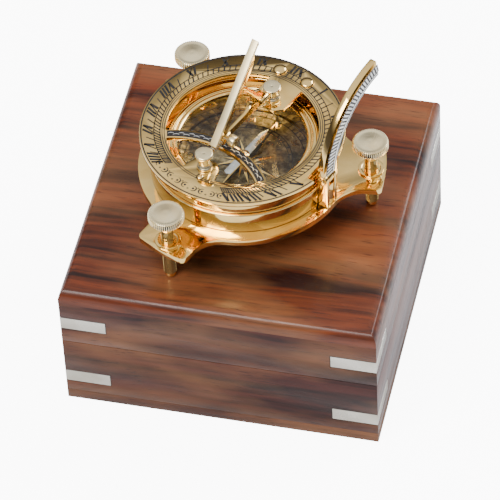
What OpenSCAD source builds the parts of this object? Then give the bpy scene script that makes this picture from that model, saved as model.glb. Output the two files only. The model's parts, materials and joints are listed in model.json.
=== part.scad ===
// Folding brass sundial with a compass, standing on its own hardwood case.
// Millimetres, +Z up. The origin is the centre of the case's underside, X runs along the
// front of the case and +Y points to its back. The sundial stands on the lid on three screws.

/* [Case] */
// Width of the case along its front
case_w = 150; // [125:1:200]
// Depth of the case, front to back
case_d = 154; // [128:1:200]
// Height of the closed case
case_h = 74.5; // [62:0.5:110]
// Height of the seam between base and lid
seam_z = 40.5; // [34:0.5:46]
// Gap between base and lid at the seam
seam_gap = 0.2; // [0.1:0.1:0.5]
// Thickness of the side boards
wall_t = 8; // [6:0.5:12]
// Thickness of the top board
top_t = 8; // [6.5:0.5:12]
// Thickness of the bottom board
bottom_t = 6; // [4:0.5:10]
// Radius of the rounding along the top board's edges
edge_r = 5.5; // [2:0.5:6]
// Thickness of the felt on the floor and under the lid
felt_t = 1.5; // [1:0.25:3]
// Gap between the felt and the side boards
felt_gap = 0.5; // [0.3:0.1:2]

/* [Corner straps] */
// Height of a corner strap
strap_h = 7.8; // [5:0.1:9]
// Thickness of the strap metal
strap_t = 0.8; // [0.5:0.1:1.5]
// Length of a strap's leg along the front or back
strap_front = 22; // [12:1:35]
// Length of a strap's leg along the side
strap_side = 23; // [12:1:35]
// Height of the base straps' lower edge
base_strap_z = 12; // [10:0.5:20]
// Drop from the seam up to the lid straps' lower edge
lid_strap_rise = 8.7; // [4:0.1:11]

/* [Case hinges] */
// Radius of a hinge barrel
barrel_r = 1.6; // [1.4:0.1:2.5]
// Radius of the hinge pins
hinge_pin_r = 0.8; // [0.6:0.1:1]
// Length of a hinge
hinge_len = 26; // [18:1:36]
// Distance from a side of the case to the middle of a hinge
hinge_inset = 34; // [28:1:42]
// Thickness of a hinge leaf
leaf_t = 1; // [0.8:0.1:1.4]

/* [Base plate] */
// Distance from the lid to the underside of the plate
plate_z = 20; // [14:0.5:24]
// Thickness of the plate
plate_t = 3; // [2:0.1:4]
// Width of the plate's rim outside the compass housing
plate_rim = 5.7; // [5:0.1:8]
// Radius of the circle of levelling screws
screw_circle_r = 59.2; // [58:0.1:72]
// Distance from a levelling screw to the end of its ear
ear_end = 7; // [6.6:0.1:14]
// Width of an ear
ear_w = 26.8; // [22:0.2:32]
// Radius of the rounding between ear and rim
ear_fillet = 15; // [8:0.5:20]
// Radius of an ear's outer corners
ear_corner = 3; // [1:0.5:6]
// Place of the sundial on the lid, along X
inst_x = -2.3; // [-6:0.1:6]
// Place of the sundial on the lid, along Y
inst_y = -1.9; // [-6:0.1:6]
// Direction of noon, counted from +X towards +Y
noon_angle = 66.5; // [60:0.5:72]

/* [Levelling screws] */
// Diameter of the screw shank
shank_d = 6; // [4:0.1:8]
// Diameter of the knurled knob
knob_d = 16.8; // [14:0.1:22]
// Height of the knob
knob_h = 5.4; // [3:0.1:8]
// Height of the knob's underside above the lid
knob_z = 36.3; // [34:0.1:48]
// Diameter of the spigot that the knob turns on
spigot_d = 4; // [2.5:0.1:5]
// Diameter of the threaded bush's flange
bush_d = 12; // [10:0.2:15]
// Wall of the bush's sleeve inside the plate
bush_wall = 1.4; // [1:0.1:2]
// Height of the bush's flange above the plate
bush_h = 0.8; // [0.4:0.1:2]

/* [Compass] */
// Radius of the compass well
well_r = 31.2; // [28:0.1:38]
// Wall of the housing at its foot
tier_wall = 12.6; // [11:0.1:16]
// Height of the housing's lower tier
tier_h = 10.8; // [5:0.1:11.5]
// Depth of the groove above the lower tier
groove_d = 0.5; // [0.3:0.1:2]
// Width of that groove
groove_h = 0.6; // [0.4:0.1:1.5]
// Height above the plate of the rim that stands round the compass
rim_h = 17.4; // [15.5:0.1:17.5]
// Thickness of that rim
rim_t = 2; // [1.2:0.1:3]
// How far the rim is set in from the lower tier
rim_in = 1.2; // [1.2:0.1:2]
// Height of the housing above the plate
housing_h = 14.2; // [13:0.1:16]
// Thickness of the glass
glass_t = 1.6; // [1:0.1:2]
// Width of the ledge that the glass sits on
glass_ledge = 1.4; // [1:0.1:2]
// Inner radius of the bezel, counted from the well inwards
bezel_lip = 1.7; // [1:0.1:3]
// Width of the bezel
bezel_w = 5.7; // [4.5:0.1:7]
// Height of the bezel
bezel_h = 2; // [1.2:0.1:3]
// Thickness of the engraved dial
dial_t = 1.2; // [0.8:0.1:2]
// Length of the needle's north arm
needle_n = 19; // [16:0.5:26]
// Length of the needle's south arm
needle_s = 13.5; // [12:0.5:25]
// Width of the needle
needle_w = 3.6; // [2:0.1:4]
// Thickness of the needle
needle_t = 0.6; // [0.4:0.1:1]
// Height of the needle above the dial
needle_rise = 3.4; // [2.5:0.1:6]

/* [Hour ring] */
// Outer radius of the hour ring
ring_ro = 47.7; // [44:0.1:58]
// Inner radius of the hour ring
ring_ri = 35.4; // [34:0.1:38]
// Thickness of the hour ring
ring_t = 2; // [1.5:0.1:3]
// Height of the ring's underside above the lid
ring_z = 44; // [43:0.5:54]
// Half the width of the tab towards noon
tab_n_w = 8.8; // [6:0.1:11]
// Reach of the noon tab, from the centre
tab_n_reach = 17; // [12:0.5:19]
// Half the width of the tab opposite noon
tab_s_w = 7; // [5.5:0.1:10]
// Reach of that tab, from the centre
tab_s_reach = 24.5; // [21:0.5:25.5]
// Width of the scalloped arch
arch_w = 5; // [3:0.1:7]
// Outer radius of the arch
arch_r = 47; // [42:0.5:60]
// Distance from the centre to the crown of the arch
arch_crown = 10.8; // [8:0.1:14]
// Distance from the ring's outer edge in to its hinge axis
ring_hinge_in = 1.9; // [1:0.1:2.5]
// Drop from the ring's underside to its hinge axis
ring_hinge_drop = 3.1; // [1.5:0.1:4]
// Largest tilt of the ring, in degrees
tilt_max = 55; // [40:1:60]
// Radius of the small hinge pins
small_pin_r = 1.2; // [0.8:0.1:1.5]
// Radius of the knuckles on those pins
knuckle_r = 2.9; // [2.4:0.1:3.4]
// Distance of a dome rivet from the noon line
rivet_e = 7.7; // [6:0.1:9]
// Radius of a dome rivet
rivet_r = 3.4; // [2:0.1:4]

/* [Gnomon] */
// Height of the gnomon's axle above the ring's underside
axle_rise = 7.2; // [5.5:0.1:9]
// Radius of the axle
axle_r = 1.1; // [0.8:0.05:1.4]
// Wall of the gnomon's knuckle round the axle
axle_wall = 1.1; // [0.8:0.05:1.5]
// Place of the post towards noon
post_n = 23.6; // [22:0.1:28]
// Place of the post opposite noon
post_s = 29.1; // [29:0.1:33]
// Radius of a post's head
post_head_r = 4.25; // [3:0.05:5]
// Radius of a post's waist
post_r = 3; // [2.2:0.1:3.5]
// Height of the gnomon's style above its foot, in degrees
style_angle = 47.7; // [40:0.1:55]
// Where the style's line meets the axle's height, towards the south
style_foot = 24.5; // [23.5:0.1:27]
// Length of the style, measured level
style_run = 36; // [28:0.5:42]
// Width of the style's flat face
style_w = 3.7; // [2.5:0.1:5]
// Thickness of the style
style_t = 1.6; // [1:0.1:2.5]
// Thickness of the gnomon's blade
blade_t = 1.6; // [1:0.1:2.4]

/* [Latitude arc] */
// Thickness of the arc
arc_t = 3.4; // [2.5:0.1:4.5]
// Width of the arc
arc_w = 8.2; // [6:0.1:10]
// Outer radius of the arc
arc_r = 45.7; // [44:0.1:48]
// Place of the arc's centre towards noon
arc_centre_n = 42; // [41:0.1:44]
// Drop from the ring's underside to the arc's centre
arc_centre_drop = 6.4; // [5:0.1:9]
// Angle that the arc spans
arc_span = 88; // [50:1:95]
// Distance from the arc's middle to the ring's outer edge
arc_inset = 1.3; // [1:0.05:2.2]
// Height of the arc's hinge axis below the ring
arc_hinge_drop = 4.5; // [3.5:0.1:5]
// Gap in the ring round the arc
arc_gap = 0.6; // [0.4:0.1:1.5]

/* [Fits] */
// Radial clearance of a turning or sliding fit
run_fit = 0.05; // [0.02:0.01:0.1]
// Gap between faces of pieces that move apart
side_gap = 0.3; // [0.2:0.05:0.5]
// Radius of the plate screws
plate_screw_r = 1.25; // [0.8:0.05:1.5]

/* [Hidden] */
$fn = 96;
eps = 0.01;
function at(r, a) = [r * cos(a), r * sin(a)];
function arc_points(r, a0, a1, n) = [for (i = [0:n]) at(r, a0 + (a1 - a0) * i / n)];

// Case
lid_z = seam_z + seam_gap / 2;
base_top_z = seam_z - seam_gap / 2;
lid_wall_top = case_h - top_t;
hinge_y = case_d / 2 + barrel_r;
hinge_x = case_w / 2 - hinge_inset;
hinge_knuckles = 5;

// Instrument heights, above the lid
plate_top = plate_z + plate_t;
tier_r = well_r + tier_wall;
plate_r = tier_r + plate_rim;
ear_r = screw_circle_r + ear_end;
housing_top = plate_top + housing_h;
glass_z = housing_top - glass_t;
dial_top = plate_top + dial_t;
needle_z = dial_top + needle_rise;
bezel_ri = well_r - bezel_lip;
bezel_ro = bezel_ri + bezel_w;
bush_r = shank_d / 2 + bush_wall;
bush_hole_gap = 0.05;
ring_top = ring_z + ring_t;
ring_axis_n = ring_ro - ring_hinge_in;
ring_axis_z = ring_z - ring_hinge_drop;
axle_z = ring_z + axle_rise;
arc_e = ring_ro - arc_inset;
arc_ri = arc_r - arc_w;
arc_centre_z = ring_z - arc_centre_drop;
arc_axis_z = ring_z - arc_hinge_drop;
arc_knuckle_n = arc_centre_n - arc_r + arc_w / 2 + 1.3;
arc_knuckle_half = 1.7;
arc_ear_t = 1.8;
arc_bracket_half = arc_knuckle_half + side_gap + arc_ear_t;
screw_angles = [-90, 30, 150];
housing_screw_angles = [-30, 90, 210];
housing_screw_circle = (well_r + tier_r) / 2;

// Places a piece on the lid, with +Y towards noon and Z counted from the lid
module on_lid() {
  translate([inst_x, inst_y, case_h]) rotate(noon_angle - 90) children();
}
module at_screw(a) { on_lid() translate(at(screw_circle_r, a)) children(); }
// Lays a profile drawn in (noon, height) on the plane e = middle, t thick
module upright(e, t) {
  translate([e - t / 2, 0, 0]) rotate([90, 0, 90]) linear_extrude(t) children();
}
// A round bar along the noon direction, from n0 to n1
module noon_bar(e, z, r, n0, n1) {
  translate([e, n0, z]) rotate([-90, 0, 0]) cylinder(h = n1 - n0, r = r);
}
// A round bar along the east direction, from e0 to e1
module east_bar(n, z, r, e0, e1) {
  translate([e0, n, z]) rotate([0, 90, 0]) cylinder(h = e1 - e0, r = r);
}

// ---- Case boards ----
// Front board of a frame with mitred corners, from z0 to z1
module board_x(z0, z1) {
  translate([0, 0, z0]) linear_extrude(z1 - z0)
    polygon([[-case_w / 2, -case_d / 2], [case_w / 2, -case_d / 2],
             [case_w / 2 - wall_t, -case_d / 2 + wall_t], [-case_w / 2 + wall_t, -case_d / 2 + wall_t]]);
}
// Left board of the same frame
module board_y(z0, z1) {
  translate([0, 0, z0]) linear_extrude(z1 - z0)
    polygon([[-case_w / 2, -case_d / 2], [-case_w / 2 + wall_t, -case_d / 2 + wall_t],
             [-case_w / 2 + wall_t, case_d / 2 - wall_t], [-case_w / 2, case_d / 2]]);
}
// The four corner straps; proud is how far they reach out past the boards
module straps(z0, proud = 0) {
  for (sx = [-1, 1], sy = [-1, 1]) scale([sx, sy, 1]) difference() {
    translate([case_w / 2 - strap_front, case_d / 2 - strap_side, z0])
      cube([strap_front + proud, strap_side + proud, strap_h]);
    translate([-case_w / 2, -case_d / 2, z0 - 1])
      cube([case_w - strap_t, case_d - strap_t, strap_h + 2]);
  }
}
lid_strap_z = seam_z + lid_strap_rise;
module base_board_x() { difference() { board_x(bottom_t, base_top_z); straps(base_strap_z, 1); } }
module base_board_y() { difference() { board_y(bottom_t, base_top_z); straps(base_strap_z, 1); } }
module lid_board_x() { difference() { board_x(lid_z, lid_wall_top); straps(lid_strap_z, 1); } }
module lid_board_y() { difference() { board_y(lid_z, lid_wall_top); straps(lid_strap_z, 1); } }
// Pockets for the hinge leaves, from z0 up
module leaf_pockets(z0, h) {
  for (s = [-1, 1])
    translate([s * hinge_x - hinge_len / 2, case_d / 2 - wall_t + 1, z0]) cube([hinge_len, wall_t, h]);
}
module base_front() { color("sienna") base_board_x(); }
module base_back() {
  color("sienna") difference() {
    mirror([0, 1, 0]) base_board_x();
    leaf_pockets(base_top_z - leaf_t, leaf_t + 1);
    hinge_screw_set(-1, run_fit);
  }
}
module base_left() { color("sienna") base_board_y(); }
module base_right() { color("sienna") mirror([1, 0, 0]) base_board_y(); }
module base_bottom() {
  color("saddlebrown") translate([-case_w / 2, -case_d / 2, 0]) cube([case_w, case_d, bottom_t]);
}
module base_straps() { color("gainsboro") straps(base_strap_z); }
module base_felt() {
  color("darkgreen") translate([0, 0, bottom_t]) felt_pad();
}
module felt_pad() {
  w = case_w - 2 * (wall_t + felt_gap);
  d = case_d - 2 * (wall_t + felt_gap);
  translate([-w / 2, -d / 2, 0]) cube([w, d, felt_t]);
}
module lid_front() { color("sienna") lid_board_x(); }
module lid_back() {
  color("sienna") difference() {
    mirror([0, 1, 0]) lid_board_x();
    leaf_pockets(lid_z - 1, leaf_t + 1);
    hinge_screw_set(1, run_fit);
  }
}
module lid_left() { color("sienna") lid_board_y(); }
module lid_right() { color("sienna") mirror([1, 0, 0]) lid_board_y(); }
// A board's section with both upper corners rounded
module top_section(w) {
  translate([-w / 2, 0]) square([w, top_t - edge_r]);
  intersection() {
    translate([-w / 2, 0]) square([w, top_t]);
    union() {
      translate([-w / 2 + edge_r, 0]) square([w - 2 * edge_r, top_t]);
      for (s = [-1, 1]) translate([s * (w / 2 - edge_r), top_t - edge_r]) circle(r = edge_r);
    }
  }
}
module lid_top() {
  color("peru") translate([0, 0, lid_wall_top]) intersection() {
    rotate([90, 0, 0]) translate([0, 0, -case_d / 2]) linear_extrude(case_d) top_section(case_w);
    rotate([90, 0, 90]) translate([0, 0, -case_w / 2]) linear_extrude(case_w) top_section(case_d);
  }
}
module lid_straps() { color("gainsboro") straps(lid_strap_z); }
module lid_felt() { color("darkgreen") translate([0, 0, lid_wall_top - felt_t]) felt_pad(); }

// ---- Case hinges ----
// Stretches of barrel that belong to one leaf: side 0 is the base, side 1 the lid
module barrel_parts(side, x0) {
  len = hinge_len / hinge_knuckles;
  for (i = [side:2:hinge_knuckles - 1])
    translate([x0 - hinge_len / 2 + i * len + (i > 0 ? side_gap / 2 : 0), hinge_y, seam_z])
      rotate([0, 90, 0])
        cylinder(h = len - (i > 0 ? side_gap / 2 : 0) - (i < hinge_knuckles - 1 ? side_gap / 2 : 0),
                 r = barrel_r, $fn = 48);
}
// Leaves and barrels of one side; dir is -1 below the seam and 1 above it
module hinge_leaves(side, dir) {
  z0 = dir < 0 ? base_top_z - leaf_t : lid_z;
  len = hinge_len / hinge_knuckles;
  difference() {
    for (s = [-1, 1]) {
      barrel_parts(side, s * hinge_x);
      translate([s * hinge_x - hinge_len / 2, case_d / 2 - wall_t + 1, z0])
        cube([hinge_len, wall_t - 1, leaf_t]);
      for (i = [side:2:hinge_knuckles - 1])
        translate([s * hinge_x - hinge_len / 2 + i * len + (i > 0 ? side_gap / 2 : 0),
                   case_d / 2 - 0.5, z0])
          cube([len - (i > 0 ? side_gap / 2 : 0) - (i < hinge_knuckles - 1 ? side_gap / 2 : 0),
                0.5 + barrel_r, leaf_t]);
    }
    for (s = [-1, 1])
      translate([s * hinge_x - hinge_len / 2 - 1, hinge_y, seam_z]) rotate([0, 90, 0])
        cylinder(h = hinge_len + 2, r = hinge_pin_r + run_fit, $fn = 48);
    hinge_screw_set(dir, run_fit);
  }
}
hinge_screw_r = 1;
hinge_screw_len = 9;
// Two countersunk screws for each leaf, grown by g
module hinge_screw_set(dir, g) {
  z0 = dir < 0 ? base_top_z : lid_z;
  for (s = [-1, 1], k = [-1, 1])
    translate([s * hinge_x + k * hinge_len * 0.28, case_d / 2 - wall_t / 2, z0])
      rotate([dir < 0 ? 180 : 0, 0, 0]) {
        cylinder(h = hinge_screw_len + g, r = hinge_screw_r + g, $fn = 32);
        cylinder(h = leaf_t * 0.8 + g, r1 = hinge_screw_r * 1.9 + g, r2 = hinge_screw_r + g, $fn = 32);
      }
}
module base_hinge_leaves() { color("goldenrod") hinge_leaves(0, -1); }
module lid_hinge_leaves() { color("goldenrod") hinge_leaves(1, 1); }
module base_hinge_screws() { color("gold") hinge_screw_set(-1, 0); }
module lid_hinge_screws() { color("gold") hinge_screw_set(1, 0); }
module case_hinge_pins() {
  color("gold") for (s = [-1, 1])
    translate([s * hinge_x - hinge_len / 2, hinge_y, seam_z]) rotate([0, 90, 0])
      cylinder(h = hinge_len, r = hinge_pin_r, $fn = 48);
}

// ---- Base plate and levelling screws ----
// One ear, drawn along +X: straight sides, rounded corners and a rounding into the rim
module ear_2d() {
  half = ear_w / 2;
  bite = 0.03; // the rounding bites this far into rim and side, so that the outlines cross
  corner_e = sqrt(pow(ear_r - ear_corner, 2) - pow(half - ear_corner, 2));
  fillet_y = half + ear_fillet - bite;
  fillet_x = sqrt(pow(plate_r + ear_fillet - bite, 2) - pow(fillet_y, 2));
  translate([0, -half]) square([corner_e, ear_w]);
  intersection() {
    circle(r = ear_r - bite);
    translate([0, -half + ear_corner]) square([ear_r, ear_w - 2 * ear_corner]);
  }
  for (s = [-1, 1]) translate([corner_e, s * (half - ear_corner)]) circle(r = ear_corner);
  difference() {
    polygon([[0, 0], [fillet_x, -fillet_y], [fillet_x, fillet_y]]);
    for (s = [-1, 1]) translate([fillet_x, s * fillet_y]) circle(r = ear_fillet);
  }
}
module base_plate() {
  color("gold") on_lid() translate([0, 0, plate_z]) difference() {
    linear_extrude(plate_t) {
      circle(r = plate_r, $fn = 180);
      for (a = screw_angles) rotate(a) ear_2d();
    }
    for (a = screw_angles)
      translate([each at(screw_circle_r, a), -1]) cylinder(h = plate_t + 2, r = bush_r + bush_hole_gap);
    translate([0, 0, -plate_z]) plate_screw_set(bush_hole_gap);
  }
}
module screw_bushes() {
  color("darkgoldenrod") for (a = screw_angles) at_screw(a) difference() {
    union() {
      translate([0, 0, plate_z]) cylinder(h = plate_t + eps, r = bush_r);
      translate([0, 0, plate_top]) cylinder(h = bush_h, r = bush_d / 2);
    }
    translate([0, 0, plate_z - 1]) cylinder(h = plate_t + bush_h + 2, r = shank_d / 2 + run_fit);
  }
}
module shank(a) {
  spigot_h = knob_h - 1.2;
  tip = shank_d * 0.3;
  color("khaki") at_screw(a) rotate_extrude() polygon([
    [0, 0], [tip, 0], for (t = [0:15:75]) [tip + (shank_d / 2 - tip) * sin(t), tip * (1 - cos(t))],
    [shank_d / 2, tip], [shank_d / 2, knob_z], [spigot_d / 2, knob_z],
    [spigot_d / 2, knob_z + spigot_h], [0, knob_z + spigot_h]]);
}
module shank_south() { shank(screw_angles[0]); }
module shank_east() { shank(screw_angles[1]); }
module shank_west() { shank(screw_angles[2]); }
// A knob with a knurled rim, a collar under it and a blind bore
module knob(a) {
  seat = knob_z + run_fit;
  bore_h = knob_h - 1.2 + run_fit;
  r = knob_d / 2;
  collar_r = shank_d / 2 + 1.2;
  color("palegoldenrod") at_screw(a) difference() {
    rotate_extrude() polygon([
      [0, seat], [collar_r, seat], [collar_r, seat + 0.6], [r - 1.2, seat + 0.6], [r - 0.4, seat + 1.2],
      [r, seat + 1.6], [r, seat + knob_h - 0.7], [r - 0.7, seat + knob_h], [0, seat + knob_h]]);
    translate([0, 0, seat - 1]) cylinder(h = bore_h + 1, r = spigot_d / 2 + run_fit);
  }
}
module knob_south() { knob(screw_angles[0]); }
module knob_east() { knob(screw_angles[1]); }
module knob_west() { knob(screw_angles[2]); }

// ---- Compass ----
module compass_housing() {
  groove_z = plate_top + tier_h;
  rim_foot = groove_z + groove_h;
  rim_r = tier_r - rim_in;
  rim_z = plate_top + rim_h;
  edge = 0.4;
  color("goldenrod") on_lid() difference() {
    rotate_extrude($fn = 180) polygon([
      [well_r, plate_top], [tier_r - edge, plate_top], [tier_r, plate_top + edge],
      [tier_r, groove_z - edge], [tier_r - edge, groove_z], [rim_r - groove_d, groove_z],
      [rim_r - groove_d, rim_foot], [rim_r, rim_foot], [rim_r, rim_z - edge], [rim_r - edge, rim_z],
      [rim_r - rim_t, rim_z], [rim_r - rim_t, housing_top],
      [well_r + glass_ledge, housing_top], [well_r + glass_ledge, glass_z], [well_r, glass_z]]);
    plate_screw_set(bush_hole_gap);
  }
}
module compass_dial() {
  color("darkkhaki") on_lid() translate([0, 0, plate_top])
    cylinder(h = dial_t, r = well_r - 0.1, $fn = 180);
}
pivot_r = 0.5;
cap_r = 2.6;
cap_h = 1.8;
pivot_top = needle_z + needle_t + 0.4;
module needle_pivot() {
  foot_r = 1.8;
  color("gold") on_lid() rotate_extrude() polygon([
    [0, dial_top], [foot_r, dial_top], [foot_r, dial_top + 0.6], [pivot_r, needle_z - 0.8],
    [pivot_r, pivot_top], [0, pivot_top]]);
}
module compass_needle() {
  hub_r = needle_w * 0.75;
  color("whitesmoke") on_lid() translate([0, 0, needle_z]) difference() {
    union() {
      linear_extrude(needle_t) polygon([
        [0, needle_n], [needle_w / 2, needle_n - needle_w * 1.4], [needle_w / 2, -needle_s + needle_w],
        [0, -needle_s], [-needle_w / 2, -needle_s + needle_w], [-needle_w / 2, needle_n - needle_w * 1.4]]);
      cylinder(h = needle_t, r = hub_r);
    }
    translate([0, 0, -1]) cylinder(h = needle_t + 2, r = pivot_r + run_fit);
  }
}
module needle_cap() {
  color("gold") on_lid() translate([0, 0, needle_z + needle_t]) difference() {
    rotate_extrude() polygon([[0, 0], [cap_r, 0], [cap_r, 0.4], [cap_r * 0.6, cap_h - 0.3],
                              [cap_r * 0.3, cap_h], [0, cap_h]]);
    translate([0, 0, -1])
      cylinder(h = 1 + pivot_top - needle_z - needle_t + side_gap, r = pivot_r + run_fit);
  }
}
module compass_glass() {
  color("lightblue", 0.4) on_lid() translate([0, 0, glass_z])
    cylinder(h = glass_t, r = well_r + glass_ledge - 0.1, $fn = 180);
}
module compass_bezel() {
  color("gold") on_lid() rotate_extrude($fn = 180) polygon([
    [bezel_ri, housing_top], [bezel_ro, housing_top], [bezel_ro, housing_top + bezel_h * 0.5],
    [bezel_ro - 0.5, housing_top + bezel_h * 0.85], [bezel_ro - 1.2, housing_top + bezel_h],
    [bezel_ri + 1, housing_top + bezel_h], [bezel_ri + 0.3, housing_top + bezel_h * 0.8],
    [bezel_ri, housing_top + bezel_h * 0.4]]);
}

// ---- Brackets on the plate ----
bracket_foot_h = 4;
bracket_foot_in = tier_r + 0.4;
bracket_foot_out = plate_r - 0.4;
bracket_ear_t = 2.4;
leaf_half = 5.8;
// Section of a bracket ear, drawn in (distance from the centre, height)
module ear_section(axis_r, axis_z) {
  difference() {
    union() {
      translate([bracket_foot_in, plate_top])
        square([bracket_foot_out - bracket_foot_in, bracket_foot_h]);
      polygon([[bracket_foot_in, plate_top + bracket_foot_h - eps],
               [bracket_foot_out, plate_top + bracket_foot_h - eps],
               [axis_r + knuckle_r, axis_z], [axis_r - knuckle_r, axis_z]]);
      translate([axis_r, axis_z]) circle(r = knuckle_r);
    }
    translate([axis_r, axis_z]) circle(r = small_pin_r);
  }
}
module ring_hinge_bracket() {
  color("goldenrod") on_lid() difference() {
    union() {
      for (s = [-1, 1]) upright(s * (leaf_half + side_gap + bracket_ear_t / 2), bracket_ear_t)
        ear_section(ring_axis_n, ring_axis_z);
      upright(0, 2 * (leaf_half + side_gap + bracket_ear_t)) translate([bracket_foot_in, plate_top])
        square([bracket_foot_out - bracket_foot_in, bracket_foot_h]);
    }
    plate_screw_set(bush_hole_gap);
  }
}
module ring_hinge_pin() {
  half = leaf_half + side_gap + bracket_ear_t;
  color("gold") on_lid() {
    east_bar(ring_axis_n, ring_axis_z, small_pin_r, -half, half);
    for (s = [-1, 1]) translate([s * (half + 0.4), 0, 0])
      east_bar(ring_axis_n, ring_axis_z, small_pin_r + 0.6, -0.4, 0.4);
  }
}
module arc_bracket() {
  block_top = arc_axis_z - knuckle_r - 1.2;
  color("goldenrod") on_lid() difference() {
    union() {
      for (s = [-1, 1])
        translate([0, arc_knuckle_n + s * (arc_bracket_half - arc_ear_t / 2), 0])
          rotate(-90) upright(0, arc_ear_t) ear_section(arc_e, arc_axis_z);
      translate([bracket_foot_in, arc_knuckle_n - arc_bracket_half, plate_top])
        cube([bracket_foot_out - 0.5 - bracket_foot_in, 2 * arc_bracket_half, block_top - plate_top]);
    }
    plate_screw_set(bush_hole_gap);
  }
}
module arc_hinge_pin() {
  mid = arc_knuckle_n;
  half = arc_bracket_half;
  color("gold") on_lid() {
    noon_bar(arc_e, arc_axis_z, small_pin_r, mid - half, mid + half);
    for (n0 = [mid - half - 0.8, mid + half]) noon_bar(arc_e, arc_axis_z, small_pin_r + 0.6, n0, n0 + 0.8);
  }
}
// Places of the screws that hold housing and brackets from under the plate
bracket_screw_r = (bracket_foot_in + bracket_foot_out) / 2;
plate_screw_places = [
  for (a = housing_screw_angles) at(housing_screw_circle, a),
  for (s = [-1, 1]) [s * leaf_half, bracket_screw_r],
  for (s = [-1, 1]) [bracket_screw_r, arc_knuckle_n + s * arc_bracket_half * 0.62]];
module plate_screw_set(g) {
  for (p = plate_screw_places) translate([each p, plate_z]) {
    cylinder(h = plate_t + 3 + g, r = plate_screw_r + g, $fn = 32);
    cylinder(h = 1 + g, r1 = plate_screw_r * 1.8 + g, r2 = plate_screw_r + g, $fn = 32);
  }
}
module plate_screws() { color("khaki") on_lid() plate_screw_set(0); }

// ---- Hour ring ----
arch_centre = arch_crown + arch_r;
notch_e = arc_e - arc_t / 2 - 1.8;
notch_s = arc_centre_n - arc_r - 5;
// Where the top of the fully tilted ring meets the arc's inner edge, counted from the hinge axis
tilted_n = ring_axis_n - arc_centre_n + (ring_top - ring_axis_z) * sin(tilt_max);
tilted_z = ring_axis_z - arc_centre_z + (ring_top - ring_axis_z) * cos(tilt_max);
tilted_half = tilted_z * sin(tilt_max) - tilted_n * cos(tilt_max);
arc_reach = sqrt(pow(tilted_half, 2) + pow(arc_ri, 2) - pow(tilted_n, 2) - pow(tilted_z, 2)) - tilted_half;
notch_n = ring_axis_n - arc_reach + arc_gap;
// What crosses the ring's opening: two tabs with cut corners for the posts, and the arch
module ring_bridges_2d() {
  reach = ring_ri + 1;
  cut = 3.4;
  polygon([[-tab_n_w, reach], [-tab_n_w, tab_n_reach + cut], [-tab_n_w + cut, tab_n_reach],
           [tab_n_w - cut, tab_n_reach], [tab_n_w, tab_n_reach + cut], [tab_n_w, reach]]);
  polygon([[-tab_s_w - 2, -reach], [-tab_s_w, -tab_s_reach - cut], [-tab_s_w + cut, -tab_s_reach],
           [tab_s_w - cut, -tab_s_reach], [tab_s_w, -tab_s_reach - cut], [tab_s_w + 2, -reach]]);
  translate([0, -arch_centre]) difference() {
    circle(r = arch_r, $fn = 240);
    circle(r = arch_r - arch_w, $fn = 240);
  }
}
module ring_2d() {
  difference() {
    circle(r = ring_ro, $fn = 240);
    difference() {
      circle(r = ring_ri, $fn = 240);
      ring_bridges_2d();
    }
    // opening for the latitude arc
    translate([notch_e, notch_s]) square([ring_ro, notch_n - notch_s]);
  }
}
module hour_ring() {
  color("gold") on_lid() difference() {
    translate([0, 0, ring_z]) linear_extrude(ring_t) ring_2d();
    for (n = [post_n, -post_s])
      translate([0, n, ring_z - 1]) cylinder(h = ring_t + 2, r = post_r * 0.6 + 0.02);
    for (s = [-1, 1])
      translate([s * rivet_e, rivet_n, ring_z - 1]) cylinder(h = ring_t + 2, r = rivet_shank_r + 0.02);
  }
}
rivet_shank_r = 1.2;
rivet_n = ring_ri + 5;
ring_leaf_t = 1.2;
ring_leaf_n = rivet_n - 3.4;
ring_leaf_half = rivet_e + 3;
ring_leaf_end = ring_axis_n - knuckle_r - side_gap;
module ring_hinge_leaf() {
  z0 = ring_z - ring_leaf_t;
  color("goldenrod") on_lid() difference() {
    union() {
      translate([-ring_leaf_half, ring_leaf_n, z0])
        cube([2 * ring_leaf_half, ring_leaf_end - ring_leaf_n, ring_leaf_t]);
      translate([-leaf_half, rivet_n, z0]) cube([2 * leaf_half, ring_axis_n - rivet_n, ring_leaf_t]);
      east_bar(ring_axis_n, ring_axis_z, knuckle_r, -leaf_half, leaf_half);
    }
    east_bar(ring_axis_n, ring_axis_z, small_pin_r + run_fit, -leaf_half - 1, leaf_half + 1);
    for (s = [-1, 1])
      translate([s * rivet_e, rivet_n, z0 - 1]) cylinder(h = 4, r = rivet_shank_r + 0.02);
  }
}
module ring_rivets() {
  dome_h = 1.5;
  color("gold") on_lid() for (s = [-1, 1]) translate([s * rivet_e, rivet_n, 0]) rotate_extrude() polygon([
    [0, ring_z - ring_leaf_t - 0.7], [rivet_shank_r * 1.6, ring_z - ring_leaf_t - 0.7],
    [rivet_shank_r * 1.6, ring_z - ring_leaf_t], [rivet_shank_r, ring_z - ring_leaf_t],
    [rivet_shank_r, ring_top], [rivet_r, ring_top],
    for (t = [15:15:90]) [rivet_r * cos(t), ring_top + dome_h * sin(t)]]);
}
// A turned post with a flat round head from head_z up, drilled across for its pivot
module post(n, head_z) {
  color("palegoldenrod") on_lid() difference() {
    translate([0, n, 0]) rotate_extrude() polygon([
      [0, ring_z], [post_r * 0.6, ring_z], [post_r * 0.6, ring_top], [post_r + 0.6, ring_top],
      [post_r + 0.6, ring_top + 1], [post_r, ring_top + 1.6], [post_r, head_z - 0.8],
      [post_head_r, head_z], [post_head_r, head_z + 1.6], [post_head_r - 0.4, head_z + 2],
      [0, head_z + 2]]);
    noon_bar(0, axle_z, axle_r, n - post_head_r - 1, n + post_head_r + 1);
  }
}
module post_noon() { post(post_n, axle_z + 0.5); }
module post_south() { post(-post_s, axle_z + 1.7); }
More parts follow.
